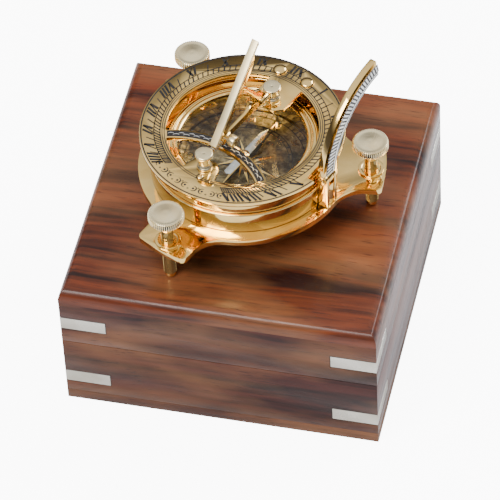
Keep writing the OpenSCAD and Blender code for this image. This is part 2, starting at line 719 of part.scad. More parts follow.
// Two pivots, from the posts into the lugs at the gnomon's ends
module gnomon_pivots() {
  color("gold") on_lid() {
    noon_bar(0, axle_z, axle_r, -post_s - post_r, -knuckle_s + lug_len - side_gap);
    noon_bar(0, axle_z, axle_r, knuckle_n - lug_len + side_gap, post_n + post_r);
  }
}

// ---- Gnomon ----
knuckle_s = 16.2;
lug_len = 5.6;
blade_foot = 1.2; // the blade's lower edge is this far below the pivots
knuckle_n = post_n - post_head_r - side_gap;
spring_r = axle_r + 0.5;
module gnomon_spring() {
  coils = 6;
  n0 = -post_s + post_r + 1;
  pitch = (-knuckle_s - side_gap - n0) / coils;
  color("silver") on_lid() translate([0, n0, axle_z]) rotate([-90, 0, 0]) rotate_extrude($fn = 48)
    polygon([[axle_r + 0.02, 0], for (i = [0:coils - 1]) each
      [[spring_r - 0.3, i * pitch], [spring_r, (i + 0.3) * pitch], [spring_r, (i + 0.7) * pitch],
       [spring_r - 0.3, (i + 0.95) * pitch]], [axle_r + 0.02, (coils - 0.05) * pitch]]);
}
// Height of the style's flat face at a place on the noon line
function style_top(n) = axle_z + (n + style_foot) * tan(style_angle);
style_drop = style_t / cos(style_angle);
style_n0 = -style_foot + 2.1;
// Section of the style bar, from its foot, which clears the spring, to its tip
module style_section() {
  foot_z = axle_z + spring_r + side_gap + 0.05;
  n0 = style_n0;
  n1 = n0 + style_run;
  tip = 2.2;
  under_n = -style_foot + (foot_z + style_drop - axle_z) / tan(style_angle);
  polygon([[n0, foot_z], [n0, style_top(n0)], [n1 - 0.4, style_top(n1 - 0.4)], [n1, style_top(n1) - 1],
           [n1, style_top(n1) - 1 - tip], [n1 - 0.6, style_top(n1 - 0.6) - style_drop],
           [under_n, foot_z]]);
}
module gnomon_style() { color("gold") on_lid() upright(0, style_w) style_section(); }
// Outline of the blade under the style, in (noon, height)
module blade_section() {
  under = style_drop;
  tip_n = style_n0 + style_run - 1;
  a = axle_z;
  polygon([
    [-knuckle_s, a - blade_foot], [-knuckle_s, a + 3.4], [-17.4, style_top(-17.4) - under],
    [tip_n, style_top(tip_n) - under], [tip_n - 2.4, style_top(tip_n) - under - 8.4],
    [tip_n - 5.8, a + 24.6], [2.2, a + 20.6], [4.2, a + 19.2], [6.2, a + 15.7], [10.6, a + 10.4],
    [14.4, a + 8.2], [17.2, a + 3.6], [knuckle_n, a + 2], [knuckle_n, a - blade_foot]]);
}
// The teardrop opening: a round top and a long point towards the south
module teardrop_2d() {
  a = axle_z;
  polygon([[-12.4, a + 2.6], [-9, a + 7.6], [-5.4, a + 12.2], [-3.4, a + 14.2], [-1.6, a + 15.3],
           [0, a + 15.5], [1.6, a + 14.9], [4, a + 12.9], [6.6, a + 10.5], [7.6, a + 8.8],
           [8, a + 6.9], [7.4, a + 5], [6, a + 3.6], [4.2, a + 2.8], [2, a + 2.4]]);
}
module gnomon_blade() {
  color("khaki") on_lid() difference() {
    union() {
      upright(0, blade_t) difference() { blade_section(); teardrop_2d(); }
      for (n0 = [-knuckle_s, knuckle_n - lug_len])
        noon_bar(0, axle_z, axle_r + axle_wall, n0, n0 + lug_len);
    }
    for (n0 = [-knuckle_s - 1, knuckle_n - lug_len])
      noon_bar(0, axle_z, axle_r + run_fit, n0, n0 + lug_len + 1);
    east_bar(-clamp_s, axle_z + clamp_rise, clamp_r + 0.02, -4, 4);
  }
}
clamp_r = 1;
clamp_s = 14.8;
clamp_rise = 2.6;
clamp_collar_e = axle_r + axle_wall + 1.4;
module gnomon_clamp_screw() {
  e1 = clamp_collar_e;
  color("palegoldenrod") on_lid() translate([0, -clamp_s, axle_z + clamp_rise]) rotate([0, 90, 0])
    rotate_extrude() polygon([
      [0, -blade_t / 2], [clamp_r, -blade_t / 2], [clamp_r, e1], [1.9, e1], [1.9, e1 + 0.6],
      [2.9, e1 + 1.2], [2.9, e1 + 3.8], [2.5, e1 + 4.2], [0, e1 + 4.2]]);
}

// ---- Latitude arc ----
module latitude_arc() {
  mid = arc_knuckle_n;
  foot_z = arc_axis_z + knuckle_r + side_gap;
  far = 2 * arc_r;
  color("gold") on_lid() difference() {
    union() {
      upright(arc_e, arc_t) translate([arc_centre_n, arc_centre_z]) difference() {
        intersection() {
          circle(r = arc_r, $fn = 240);
          polygon([[0, foot_z - arc_centre_z], [-far, foot_z - arc_centre_z], [-far, far],
                   [-far * cos(arc_span), far * sin(arc_span)], [0, 1]]);
        }
        circle(r = arc_ri, $fn = 240);
      }
      // stem from the arc down to its knuckle
      upright(arc_e, arc_t) translate([mid - arc_knuckle_half, arc_axis_z])
        square([2 * arc_knuckle_half, foot_z + 1 - arc_axis_z]);
      noon_bar(arc_e, arc_axis_z, knuckle_r, mid - arc_knuckle_half, mid + arc_knuckle_half);
    }
    noon_bar(arc_e, arc_axis_z, small_pin_r + run_fit, mid - arc_knuckle_half - 1, mid + arc_knuckle_half + 1);
  }
}

base_front();
base_back();
base_left();
base_right();
base_bottom();
base_straps();
base_felt();
base_hinge_leaves();
base_hinge_screws();
case_hinge_pins();
lid_front();
lid_back();
lid_left();
lid_right();
lid_top();
lid_straps();
lid_felt();
lid_hinge_leaves();
lid_hinge_screws();
base_plate();
screw_bushes();
compass_housing();
plate_screws();
compass_dial();
needle_pivot();
compass_glass();
compass_bezel();
ring_hinge_bracket();
ring_hinge_pin();
arc_bracket();
arc_hinge_pin();
compass_needle();
needle_cap();
hour_ring();
ring_hinge_leaf();
ring_rivets();
post_noon();
post_south();
gnomon_pivots();
gnomon_spring();
gnomon_blade();
gnomon_style();
gnomon_clamp_screw();
latitude_arc();
shank_south();
shank_east();
shank_west();
knob_south();
knob_east();
knob_west();
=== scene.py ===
"""Folding brass sundial on its hardwood case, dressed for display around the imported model.

Every piece is drawn in millimetres in the sundial's own frame: x points east, y points to noon
and z is counted from the top of the lid. LID carries that frame into the model's frame.
"""
import bpy, bmesh, json, math
from mathutils import Matrix, Vector


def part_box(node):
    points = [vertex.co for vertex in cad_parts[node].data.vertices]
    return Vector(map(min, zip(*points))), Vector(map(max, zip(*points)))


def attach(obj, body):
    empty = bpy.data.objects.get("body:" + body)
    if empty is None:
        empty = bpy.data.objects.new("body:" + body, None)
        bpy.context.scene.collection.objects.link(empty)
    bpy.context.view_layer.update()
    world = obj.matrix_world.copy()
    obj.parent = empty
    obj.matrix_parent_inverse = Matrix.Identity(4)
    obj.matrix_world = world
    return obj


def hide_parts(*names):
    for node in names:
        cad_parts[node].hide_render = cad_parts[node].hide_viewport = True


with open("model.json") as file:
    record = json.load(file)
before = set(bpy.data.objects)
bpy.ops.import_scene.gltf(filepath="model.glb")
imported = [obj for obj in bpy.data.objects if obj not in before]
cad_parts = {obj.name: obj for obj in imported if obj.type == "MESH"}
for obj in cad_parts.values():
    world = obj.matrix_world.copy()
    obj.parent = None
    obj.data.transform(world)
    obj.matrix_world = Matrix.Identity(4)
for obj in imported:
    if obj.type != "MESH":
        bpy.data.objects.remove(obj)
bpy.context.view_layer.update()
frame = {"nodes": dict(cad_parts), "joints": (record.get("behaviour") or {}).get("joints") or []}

MM = 0.001
UP = Vector((0, 0, 1))


# ---------------------------------------------------------------- the sundial's frame
def middle(node):
    low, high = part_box(node)
    return (low + high) / 2


JOINTS = {joint["name"]: joint for joint in frame["joints"]}
NOON = -Vector(JOINTS["gnomon_fold"]["axis"]).normalized()
EAST = NOON.cross(UP)
LID_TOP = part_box("lid_top")[1].z
LID = Matrix.Translation((middle("compass_dial").x, middle("compass_dial").y, LID_TOP)) \
    @ Matrix((EAST, NOON, UP)).transposed().to_4x4() @ Matrix.Scale(MM, 4)
CASE = Matrix.Scale(MM, 4)


def span(node, place=LID):
    """Lowest and highest corner of a node, in millimetres, in the frame that place carries."""
    back = place.inverted()
    points = [back @ v.co for v in frame["nodes"][node].data.vertices]
    return (Vector([min(p[i] for p in points) for i in range(3)]),
            Vector([max(p[i] for p in points) for i in range(3)]))


# ---------------------------------------------------------------- material helpers
def linked(tree, source, socket):
    """Feeds a socket from another socket, or sets it to a plain value."""
    if isinstance(source, bpy.types.NodeSocket):
        tree.links.new(source, socket)
    elif source is not None:
        socket.default_value = source


def add(tree, kind, inputs=(), **settings):
    """Adds a node, gives it its settings and feeds its inputs by name or number."""
    node = tree.nodes.new(kind)
    for key, value in settings.items():
        setattr(node, key, value)
    for key, value in dict(inputs).items():
        linked(tree, value, node.inputs[key])
    return node


def math_node(tree, operation, a, b=None):
    node = add(tree, "ShaderNodeMath", operation=operation)
    linked(tree, a, node.inputs[0])
    if b is not None:
        linked(tree, b, node.inputs[1])
    return node.outputs[0]


def noise(tree, vector, scale, detail=3.0, distortion=0.0):
    return add(tree, "ShaderNodeTexNoise", {"Vector": vector, "Scale": scale, "Detail": detail,
                                            "Distortion": distortion}).outputs["Fac"]


def stretched(tree, vector, scale, turn=0.0):
    return add(tree, "ShaderNodeMapping", {"Vector": vector, "Scale": scale,
                                           "Rotation": (0, 0, turn)}).outputs["Vector"]


def band(tree, value, low, high, out_low=0.0, out_high=1.0):
    """Takes a value from low..high to out_low..out_high, and holds it there outside."""
    return add(tree, "ShaderNodeMapRange", {0: value, 1: low, 2: high, 3: out_low, 4: out_high}).outputs[0]


def mixed(tree, factor, a, b, blend="MIX"):
    node = add(tree, "ShaderNodeMix", data_type="RGBA", blend_type=blend)
    linked(tree, factor, node.inputs[0])
    linked(tree, a, node.inputs[6])
    linked(tree, b, node.inputs[7])
    return node.outputs[2]


def ramp(tree, value, stops):
    node = add(tree, "ShaderNodeValToRGB", {0: value})
    elements = node.color_ramp.elements
    while len(elements) < len(stops):
        elements.new(0.5)
    for element, (place, colour) in zip(elements, stops):
        element.position = place
        element.color = (*colour, 1)
    return node.outputs[0]


def bump(tree, height, distance, strength=1.0, under=None):
    node = add(tree, "ShaderNodeBump", {"Height": height, "Distance": distance, "Strength": strength})
    if under is not None:
        linked(tree, under, node.inputs["Normal"])
    return node.outputs[0]


def new_group(name, inputs, outputs):
    tree = bpy.data.node_groups.new(name, "ShaderNodeTree")
    kinds = {"vector": "NodeSocketVector", "colour": "NodeSocketColor", "value": "NodeSocketFloat"}
    for label, kind, default in inputs:
        socket = tree.interface.new_socket(label, in_out="INPUT", socket_type=kinds[kind])
        if default is not None:
            socket.default_value = default
    for label, kind in outputs:
        tree.interface.new_socket(label, in_out="OUTPUT", socket_type=kinds[kind])
    return tree, tree.nodes.new("NodeGroupInput"), tree.nodes.new("NodeGroupOutput")


def place_group(tree, group, inputs):
    node = add(tree, "ShaderNodeGroup")
    node.node_tree = group
    for key, value in inputs.items():
        linked(tree, value, node.inputs[key])
    return node


def new_material(name, **sockets):
    """A material with its Principled shader set; returns it, its tree, its shader and its coordinates."""
    material = bpy.data.materials.new(name)
    material.use_nodes = True
    tree = material.node_tree
    shader = tree.nodes["Principled BSDF"]
    for key, value in sockets.items():
        shader.inputs[key.replace("_", " ")].default_value = value
    place = add(tree, "ShaderNodeTexCoord").outputs["Object"]
    return material, tree, shader, place


# ---------------------------------------------------------------- shared effects
def make_wood_figure():
    """Figure of oiled rosewood, with the grain along x: colour, roughness and pore height."""
    tree, given, out = new_group(
        "wood figure",
        [("Vector", "vector", None), ("Light", "colour", (0.36, 0.13, 0.05, 1)),
         ("Dark", "colour", (0.05, 0.015, 0.01, 1)), ("Streaks", "value", 1.0)],
        [("Color", "colour"), ("Roughness", "value"), ("Height", "value")])
    place = given.outputs["Vector"]
    sway = noise(tree, stretched(tree, place, (9, 26, 26)), 1.0, 2.0)
    sway_by = math_node(tree, "MULTIPLY", math_node(tree, "SUBTRACT", sway, 0.5), 0.016)
    bent = add(tree, "ShaderNodeVectorMath", operation="ADD")
    linked(tree, place, bent.inputs[0])
    shift = add(tree, "ShaderNodeCombineXYZ", {"Y": sway_by, "Z": sway_by})
    linked(tree, shift.outputs[0], bent.inputs[1])
    bent_place = bent.outputs[0]
    broad = noise(tree, stretched(tree, bent_place, (5, 62, 62)), 1.0, 3.0, 0.6)
    rings = noise(tree, stretched(tree, bent_place, (9, 330, 330)), 1.0, 4.0, 0.3)
    pores = noise(tree, stretched(tree, bent_place, (75, 1500, 1500)), 1.0, 2.0)
    tone = math_node(tree, "ADD", math_node(tree, "MULTIPLY", broad, 0.62),
                     math_node(tree, "MULTIPLY", rings, 0.38))
    depth = math_node(tree, "MULTIPLY", band(tree, tone, 0.57, 0.40), given.outputs["Streaks"])
    base = mixed(tree, depth, given.outputs["Light"], given.outputs["Dark"])
    warm = mixed(tree, band(tree, noise(tree, stretched(tree, place, (14, 40, 40)), 1.0), 0.4, 0.7, 0.0, 0.35),
                 base, (0.46, 0.20, 0.08, 1))
    pore = band(tree, pores, 0.40, 0.31)
    linked(tree, mixed(tree, math_node(tree, "MULTIPLY", pore, 0.55), warm, (0.018, 0.007, 0.006, 1)),
           out.inputs["Color"])
    linked(tree, band(tree, rings, 0.3, 0.7, 0.42, 0.30), out.inputs["Roughness"])
    linked(tree, math_node(tree, "SUBTRACT", math_node(tree, "MULTIPLY", rings, 0.35), pore),
           out.inputs["Height"])
    return tree


def make_handling():
    """Marks that handling leaves on metal: patches of bloom, fine scratches and soft unevenness."""
    tree, given, out = new_group(
        "handling marks", [("Vector", "vector", None), ("Scale", "value", 1.0)],
        [("Bloom", "value"), ("Scratches", "value"), ("Height", "value")])
    place = add(tree, "ShaderNodeVectorMath", operation="SCALE")
    linked(tree, given.outputs["Vector"], place.inputs[0])
    linked(tree, given.outputs["Scale"], place.inputs["Scale"])
    here = place.outputs[0]
    bloom = band(tree, noise(tree, here, 70.0, 4.0, 0.4), 0.42, 0.68)
    one_way = noise(tree, stretched(tree, here, (60, 2600, 900), 0.5), 1.0, 1.0)
    other_way = noise(tree, stretched(tree, here, (2400, 70, 900), 0.2), 1.0, 1.0)
    scratches = band(tree, math_node(tree, "MAXIMUM", one_way, other_way), 0.66, 0.76)
    linked(tree, bloom, out.inputs["Bloom"])
    linked(tree, scratches, out.inputs["Scratches"])
    linked(tree, math_node(tree, "SUBTRACT", noise(tree, here, 110.0, 2.0),
                           math_node(tree, "MULTIPLY", scratches, 0.25)), out.inputs["Height"])
    return tree


WOOD_FIGURE = make_wood_figure()
HANDLING = make_handling()


# ---------------------------------------------------------------- finishes
def rosewood(name, along_y, light, dark, streaks=1.0, shift=0.0, coat=0.3):
    """Lacquered rosewood whose grain runs along x, or along y when along_y is set."""
    material, tree, shader, place = new_material(
        name, Coat_Roughness=0.16, Coat_IOR=1.5, Coat_Weight=coat, Specular_IOR_Level=0.25)
    turned = add(tree, "ShaderNodeMapping", {"Vector": place, "Location": (shift, shift * 0.37, shift * 0.6),
                                             "Rotation": (0, 0, math.pi / 2 if along_y else 0)})
    figure = place_group(tree, WOOD_FIGURE, {"Vector": turned.outputs[0], "Light": (*light, 1),
                                             "Dark": (*dark, 1), "Streaks": streaks})
    marks = place_group(tree, HANDLING, {"Vector": place, "Scale": 0.5})
    linked(tree, figure.outputs["Color"], shader.inputs["Base Color"])
    linked(tree, math_node(tree, "ADD", figure.outputs["Roughness"],
                           math_node(tree, "MULTIPLY", marks.outputs["Bloom"], 0.08)),
           shader.inputs["Roughness"])
    linked(tree, bump(tree, figure.outputs["Height"], 0.00006, 0.5), shader.inputs["Normal"])
    return material


def worked_metal(name, colour, tarnish, smooth, rough, marks_scale=1.0, relief=0.00002):
    """Metal with bloom and fine scratches between a bright and a tarnished colour."""
    material, tree, shader, place = new_material(name, Metallic=1.0)
    marks = place_group(tree, HANDLING, {"Vector": place, "Scale": marks_scale})
    bloom = marks.outputs["Bloom"]
    linked(tree, mixed(tree, math_node(tree, "MULTIPLY", bloom, 0.7), (*colour, 1), (*tarnish, 1)),
           shader.inputs["Base Color"])
    worn = math_node(tree, "MAXIMUM", bloom, marks.outputs["Scratches"])
    linked(tree, band(tree, worn, 0.0, 1.0, smooth, rough), shader.inputs["Roughness"])
    linked(tree, bump(tree, marks.outputs["Height"], relief, 0.35), shader.inputs["Normal"])
    return material


def antique_dial(name):
    """Engraved brass gone dark, with the brass showing where the engraving has been rubbed."""
    material, tree, shader, place = new_material(name, Metallic=0.9)
    clouds = noise(tree, place, 420.0, 5.0, 0.8)
    patches = noise(tree, place, 75.0, 3.0, 0.5)
    tone = math_node(tree, "ADD", math_node(tree, "MULTIPLY", clouds, 0.5),
                     math_node(tree, "MULTIPLY", patches, 0.5))
    linked(tree, ramp(tree, tone, [(0.38, (0.075, 0.058, 0.036)), (0.48, (0.17, 0.132, 0.076)),
                                   (0.56, (0.31, 0.240, 0.130)), (0.66, (0.55, 0.430, 0.23))]),
           shader.inputs["Base Color"])
    linked(tree, band(tree, tone, 0.35, 0.7, 0.5, 0.26), shader.inputs["Roughness"])
    linked(tree, bump(tree, clouds, 0.00008, 0.5), shader.inputs["Normal"])
    return material


def filled_black(name):
    """Black filling of the engraved lines, a little uneven; also used as painted shade in gaps and grooves."""
    material, tree, shader, place = new_material(name, Metallic=0.0, Specular_IOR_Level=0.4)
    clouds = noise(tree, place, 900.0, 3.0)
    linked(tree, ramp(tree, clouds, [(0.35, (0.006, 0.006, 0.008)), (0.75, (0.035, 0.028, 0.022))]),
           shader.inputs["Base Color"])
    linked(tree, band(tree, clouds, 0.3, 0.7, 0.3, 0.55), shader.inputs["Roughness"])
    return material


def clear_glass(name):
    material, tree, shader, place = new_material(
        name, Metallic=0.0, Transmission_Weight=1.0, IOR=1.25)
    smears = noise(tree, place, 60.0, 3.0)
    linked(tree, band(tree, smears, 0.55, 0.8, 0.0, 0.07), shader.inputs["Roughness"])
    shader.inputs["Base Color"].default_value = (0.97, 0.985, 0.975, 1)
    return material


def green_felt(name):
    material, tree, shader, place = new_material(
        name, Roughness=0.95, Sheen_Weight=0.35, Sheen_Roughness=0.5, Specular_IOR_Level=0.1)
    fibres = noise(tree, place, 1900.0, 5.0, 0.8)
    linked(tree, ramp(tree, fibres, [(0.3, (0.010, 0.045, 0.022)), (0.7, (0.035, 0.13, 0.065))]),
           shader.inputs["Base Color"])
    linked(tree, bump(tree, fibres, 0.0003, 0.7), shader.inputs["Normal"])
    return material


# One rosewood given a tone per face: the top painted lighter as lit, the front and back boards painted darker as
# shaded, and the sides tinted purple as a painted reflection of the pale surroundings; the bottom has its own tone.
LIT_TOP_WOOD = rosewood("rosewood_top_painted_light", False, (0.150, 0.030, 0.0085), (0.018, 0.0040, 0.0020), 1.0, 0.013, 0.22)
SHADED_FRONT_WOOD = rosewood("rosewood_front_painted_shade", False, (0.062, 0.013, 0.010), (0.010, 0.003, 0.003), 0.9, 0.21, 0.1)
SHEEN_TINTED_SIDE_WOOD = rosewood("rosewood_side_painted_sheen", True, (0.130, 0.036, 0.026), (0.026, 0.009, 0.009), 0.9, 0.43, 0.7)
BOTTOM_WOOD = rosewood("rosewood_bottom", False, (0.100, 0.034, 0.020), (0.030, 0.010, 0.007), 1.0, 0.61, 0.1)
BRASS = worked_metal("polished_brass", (0.94, 0.66, 0.25), (0.84, 0.53, 0.16), 0.05, 0.16)
PALE_BRASS = worked_metal("turned_brass", (1.0, 0.86, 0.54), (0.95, 0.76, 0.42), 0.20, 0.36, 1.4)
STYLE_BRASS = worked_metal("style_brass", (1.0, 0.84, 0.50), (0.97, 0.76, 0.40), 0.38, 0.52, 1.0)
DEEP_BRASS = worked_metal("cast_brass", (0.80, 0.55, 0.22), (0.56, 0.35, 0.11), 0.12, 0.34, 1.2)
HINGE_BRASS = worked_metal("hinge_brass", (0.74, 0.54, 0.25), (0.45, 0.30, 0.13), 0.24, 0.48)
SILVER = worked_metal("silvered_brass", (0.90, 0.91, 0.90), (0.74, 0.73, 0.68), 0.24, 0.45, 1.3)
STRAP_METAL = worked_metal("strap_metal", (0.70, 0.67, 0.60), (0.50, 0.46, 0.38), 0.24, 0.42, 0.8)
STEEL = worked_metal("bright_steel", (0.78, 0.79, 0.77), (0.52, 0.51, 0.47), 0.18, 0.40, 1.5)
DIAL = antique_dial("antique_dial")
BLACK = filled_black("engraving_black_and_painted_shade")
GLASS = clear_glass("compass_glass_clear")
FELT = green_felt("green_baize")


# ---------------------------------------------------------------- making pieces
SHARP_ANGLE = math.radians(32)
WELD = 2e-5


def to_object(name, bm, body, material, nodes=(), place=LID):
    """Turns a bmesh drawn in millimetres into a finished piece that rides on its body."""
    bmesh.ops.transform(bm, matrix=place, verts=bm.verts)
    for face in bm.faces:
        face.smooth = True
    for edge in bm.edges:
        if edge.is_manifold and edge.calc_face_angle(0) > SHARP_ANGLE:
            edge.smooth = False
    mesh = bpy.data.meshes.new(name)
    bm.to_mesh(mesh)
    bm.free()
    mesh.materials.append(material)
    piece = bpy.data.objects.new(name, mesh)
    bpy.context.scene.collection.objects.link(piece)
    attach(piece, body)
    if nodes:
        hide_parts(*nodes)
    return piece


def ease_edges(bm, width, angle=SHARP_ANGLE, segments=2):
    """Rounds every edge sharper than angle."""
    sharp = [e for e in bm.edges if e.is_manifold and e.calc_face_angle(0) > angle]
    if sharp:
        bmesh.ops.bevel(bm, geom=sharp, offset=width, offset_type="OFFSET", affect="EDGES",
                        segments=segments, profile=0.5, material=-1, clamp_overlap=True)


def node_copy(node, place=LID):
    """A welded copy of a CAD node, in millimetres, with its flat faces made whole."""
    bm = bmesh.new()
    bm.from_mesh(frame["nodes"][node].data)
    bmesh.ops.transform(bm, matrix=place.inverted(), verts=bm.verts)
    bmesh.ops.remove_doubles(bm, verts=bm.verts, dist=0.002)
    bmesh.ops.dissolve_limit(bm, angle_limit=math.radians(0.4), verts=bm.verts, edges=bm.edges)
    return bm


def eased_node(node, body, material, width, place=LID, segments=2):
    bm = node_copy(node, place)
    ease_edges(bm, width, segments=segments)
    return to_object(node + "_eased", bm, body, material, [node], place)


def turn(profile, steps=96, closed=False, middle_at=(0, 0)):
    """Turns a profile of (radius, height) points round an upright axis."""
    bm = bmesh.new()
    verts = [bm.verts.new((r, 0, z)) for r, z in profile]
    edges = [bm.edges.new(pair) for pair in zip(verts, verts[1:])]
    if closed:
        edges.append(bm.edges.new((verts[-1], verts[0])))
    bmesh.ops.spin(bm, geom=verts + edges, cent=(0, 0, 0), axis=(0, 0, 1), angle=2 * math.pi,
                   steps=steps, use_merge=True)
    bmesh.ops.remove_doubles(bm, verts=bm.verts, dist=1e-4)
    bmesh.ops.recalc_face_normals(bm, faces=bm.faces)
    bmesh.ops.translate(bm, vec=(*middle_at, 0), verts=bm.verts)
    return bm


def fillet(points, radius, steps=3):
    """Rounds the inner corners of an open profile by the radius."""
    out = [points[0]]
    for before, corner, after in zip(points, points[1:], points[2:]):
        a, c, b = Vector(before), Vector(corner), Vector(after)
        reach = min(radius, (a - c).length * 0.45, (b - c).length * 0.45)
        start, end = c + (a - c).normalized() * reach, c + (b - c).normalized() * reach
        for k in range(steps + 1):
            t = k / steps
            out.append(tuple((1 - t) ** 2 * start + 2 * t * (1 - t) * c + t * t * end))
    out.append(points[-1])
    return out


# ---------------------------------------------------------------- engraving helpers
INLAY = 0.06


def stroke(bm, a, b, wide_a, wide_b=None):
    """A flat stroke from a to b, as wide as given at its two ends."""
    a, b = Vector(a).to_2d(), Vector(b).to_2d()
    wide_b = wide_a if wide_b is None else wide_b
    along = (b - a).normalized()
    side = Vector((-along.y, along.x))
    corners = [a - side * wide_a / 2, b - side * wide_b / 2, b + side * wide_b / 2, a + side * wide_a / 2]
    return bm.faces.new([bm.verts.new((*c, 0)) for c in corners])


def arc_stroke(bm, centre, radius, start, end, wide, step=3.0, wide_end=None):
    """A flat curved stroke about centre, between two angles in degrees."""
    count = max(2, math.ceil(abs(end - start) / step))
    rows = []
    for k in range(count + 1):
        angle = math.radians(start + (end - start) * k / count)
        width = wide if wide_end is None else wide + (wide_end - wide) * abs(2 * k / count - 1)
        rows.append([bm.verts.new((centre[0] + r * math.cos(angle), centre[1] + r * math.sin(angle), 0))
                     for r in (radius - width / 2, radius + width / 2)])
    for (a, b), (c, d) in zip(rows, rows[1:]):
        bm.faces.new((a, b, d, c) if end > start else (a, c, d, b))


def raise_flat(bm, thickness=INLAY):
    """Gives flat strokes their thickness, upwards, and turns their faces outwards."""
    bmesh.ops.remove_doubles(bm, verts=bm.verts, dist=1e-5)
    made = bmesh.ops.extrude_face_region(bm, geom=bm.faces[:], use_keep_orig=True)
    top = [g for g in made["geom"] if isinstance(g, bmesh.types.BMVert)]
    bmesh.ops.translate(bm, vec=(0, 0, thickness), verts=top)
    bmesh.ops.recalc_face_normals(bm, faces=bm.faces)
    return bm


def around(radius, angle):
    return Vector((radius * math.cos(math.radians(angle)), radius * math.sin(math.radians(angle))))


# ---------------------------------------------------------------- the case
BOARDS = {
    "base_front": ("case", SHADED_FRONT_WOOD), "base_back": ("case", SHADED_FRONT_WOOD),
    "base_left": ("case", SHEEN_TINTED_SIDE_WOOD), "base_right": ("case", SHEEN_TINTED_SIDE_WOOD),
    "base_bottom": ("case", BOTTOM_WOOD), "lid_front": ("lid", SHADED_FRONT_WOOD),
    "lid_back": ("lid", SHADED_FRONT_WOOD), "lid_left": ("lid", SHEEN_TINTED_SIDE_WOOD), "lid_right": ("lid", SHEEN_TINTED_SIDE_WOOD),
}


def make_boards():
    for node, (body, finish) in BOARDS.items():
        bm = node_copy(node, CASE)
        ease_edges(bm, 0.12)
        to_object(node + "_board", bm, body, finish, [node], CASE)
    bm = node_copy("lid_top", CASE)
    to_object("lid_top_board", bm, "lid", LIT_TOP_WOOD, ["lid_top"], CASE)


STRAP_GAP = 0.35
STRAP_SHADE_DEPTH = 0.12


def strap_outline(bm, corner, legs, thick, back, z0, z1):
    """One L-shaped corner strap; back is how far its face lies behind the case's face."""
    (cx, cy), (leg_x, leg_y) = corner, legs
    sx, sy = math.copysign(1, cx), math.copysign(1, cy)
    outer_x, outer_y = cx - sx * back, cy - sy * back
    inner_x, inner_y = cx - sx * thick, cy - sy * thick
    end_x, end_y = cx - sx * leg_x, cy - sy * leg_y
    plan = [(outer_x, outer_y), (end_x, outer_y), (end_x, inner_y), (inner_x, inner_y),
            (inner_x, end_y), (outer_x, end_y)]
    face = bm.faces.new([bm.verts.new((x, y, z0)) for x, y in plan])
    made = bmesh.ops.extrude_face_region(bm, geom=[face], use_keep_orig=True)
    bmesh.ops.translate(bm, vec=(0, 0, z1 - z0),
                        verts=[g for g in made["geom"] if isinstance(g, bmesh.types.BMVert)])


def make_straps(node, body):
    low, high = span(node, CASE)
    leg_x, leg_y, thick = 22.0, 23.0, 0.8
    # Black beds, set back behind the strap faces, show in the gap round each strap as painted shade.
    for name, finish, back, gap in (("_painted_shade_beds", BLACK, STRAP_SHADE_DEPTH, 0.0), ("_faces", STRAP_METAL, 0.0, STRAP_GAP)):
        bm = bmesh.new()
        for sx in (-1, 1):
            for sy in (-1, 1):
                strap_outline(bm, (sx * high.x, sy * high.y), (leg_x - gap, leg_y - gap), thick, back,
                              low.z + gap, high.z - gap)
        bmesh.ops.recalc_face_normals(bm, faces=bm.faces)
        if gap:
            ease_edges(bm, 0.15)
        to_object(node + name, bm, body, finish, [node], CASE)


def make_felt(node, body):
    """Felt with softly rounded edges and a faint unevenness, cut to the size of its node."""
    low, high = span(node, CASE)
    size = high - low
    bm = bmesh.new()
    bmesh.ops.create_grid(bm, x_segments=40, y_segments=40, size=0.5)
    bmesh.ops.scale(bm, vec=(size.x - 1.2, size.y - 1.2, 1), verts=bm.verts)
    for v in bm.verts:
        ripple = math.sin(v.co.x * 0.11) * math.cos(v.co.y * 0.13) + math.sin(v.co.x * 0.31 + v.co.y * 0.23)
        v.co.z = 0.06 * ripple
    made = bmesh.ops.extrude_face_region(bm, geom=bm.faces[:], use_keep_orig=True)
    top = [g for g in made["geom"] if isinstance(g, bmesh.types.BMVert)]
    bmesh.ops.translate(bm, vec=(0, 0, size.z - 0.35), verts=top)
    bmesh.ops.recalc_face_normals(bm, faces=bm.faces)
    ease_edges(bm, 0.4, math.radians(60), 3)
    middle_at = (low + high) / 2
    bmesh.ops.translate(bm, vec=(middle_at.x, middle_at.y, low.z + 0.17), verts=bm.verts)
    felt = to_object(node + "_cloth", bm, body, FELT, [node], CASE)


# ---------------------------------------------------------------- plate, screws and housing
def make_plate():
    eased_node("base_plate", "stand", BRASS, 0.5, segments=3)
    low, high = span("screw_bushes")
    plate_low, plate_high = span("base_plate")
    sleeve_z, flange_z = plate_low.z, high.z
    for name in ("south", "east", "west"):
        at = (sum(span("knob_" + name), Vector())) / 2
        bm = turn(fillet([(3.06, sleeve_z), (4.4, sleeve_z), (4.4, plate_high.z), (6.0, plate_high.z + 0.02),
                          (6.0, flange_z), (4.6, flange_z), (4.3, flange_z - 0.25), (3.06, flange_z - 0.25),
                          (3.06, sleeve_z)], 0.22), 64, False, (at.x, at.y))
        to_object("bush_" + name, bm, "stand", BRASS, ["screw_bushes"])


def knob_profile(low_z, high_z, radius):
    rise = high_z - low_z
    return [(2.1, low_z), (4.1, low_z), (4.3, low_z + 0.5), (radius - 1.5, low_z + 0.7),
            (radius - 0.5, low_z + 1.3), (radius, low_z + 1.8), (radius, low_z + rise - 0.8),
            (radius - 0.25, low_z + rise - 0.35), (radius - 0.8, low_z + rise - 0.02),
            (radius - 1.5, high_z - 0.02), (radius - 1.7, high_z - 0.07), (radius * 0.62, high_z - 0.06),
            (radius * 0.60, high_z - 0.02), (radius * 0.34, high_z - 0.07), (radius * 0.32, high_z - 0.02),
            (0.5, high_z - 0.04), (0, high_z - 0.06)]


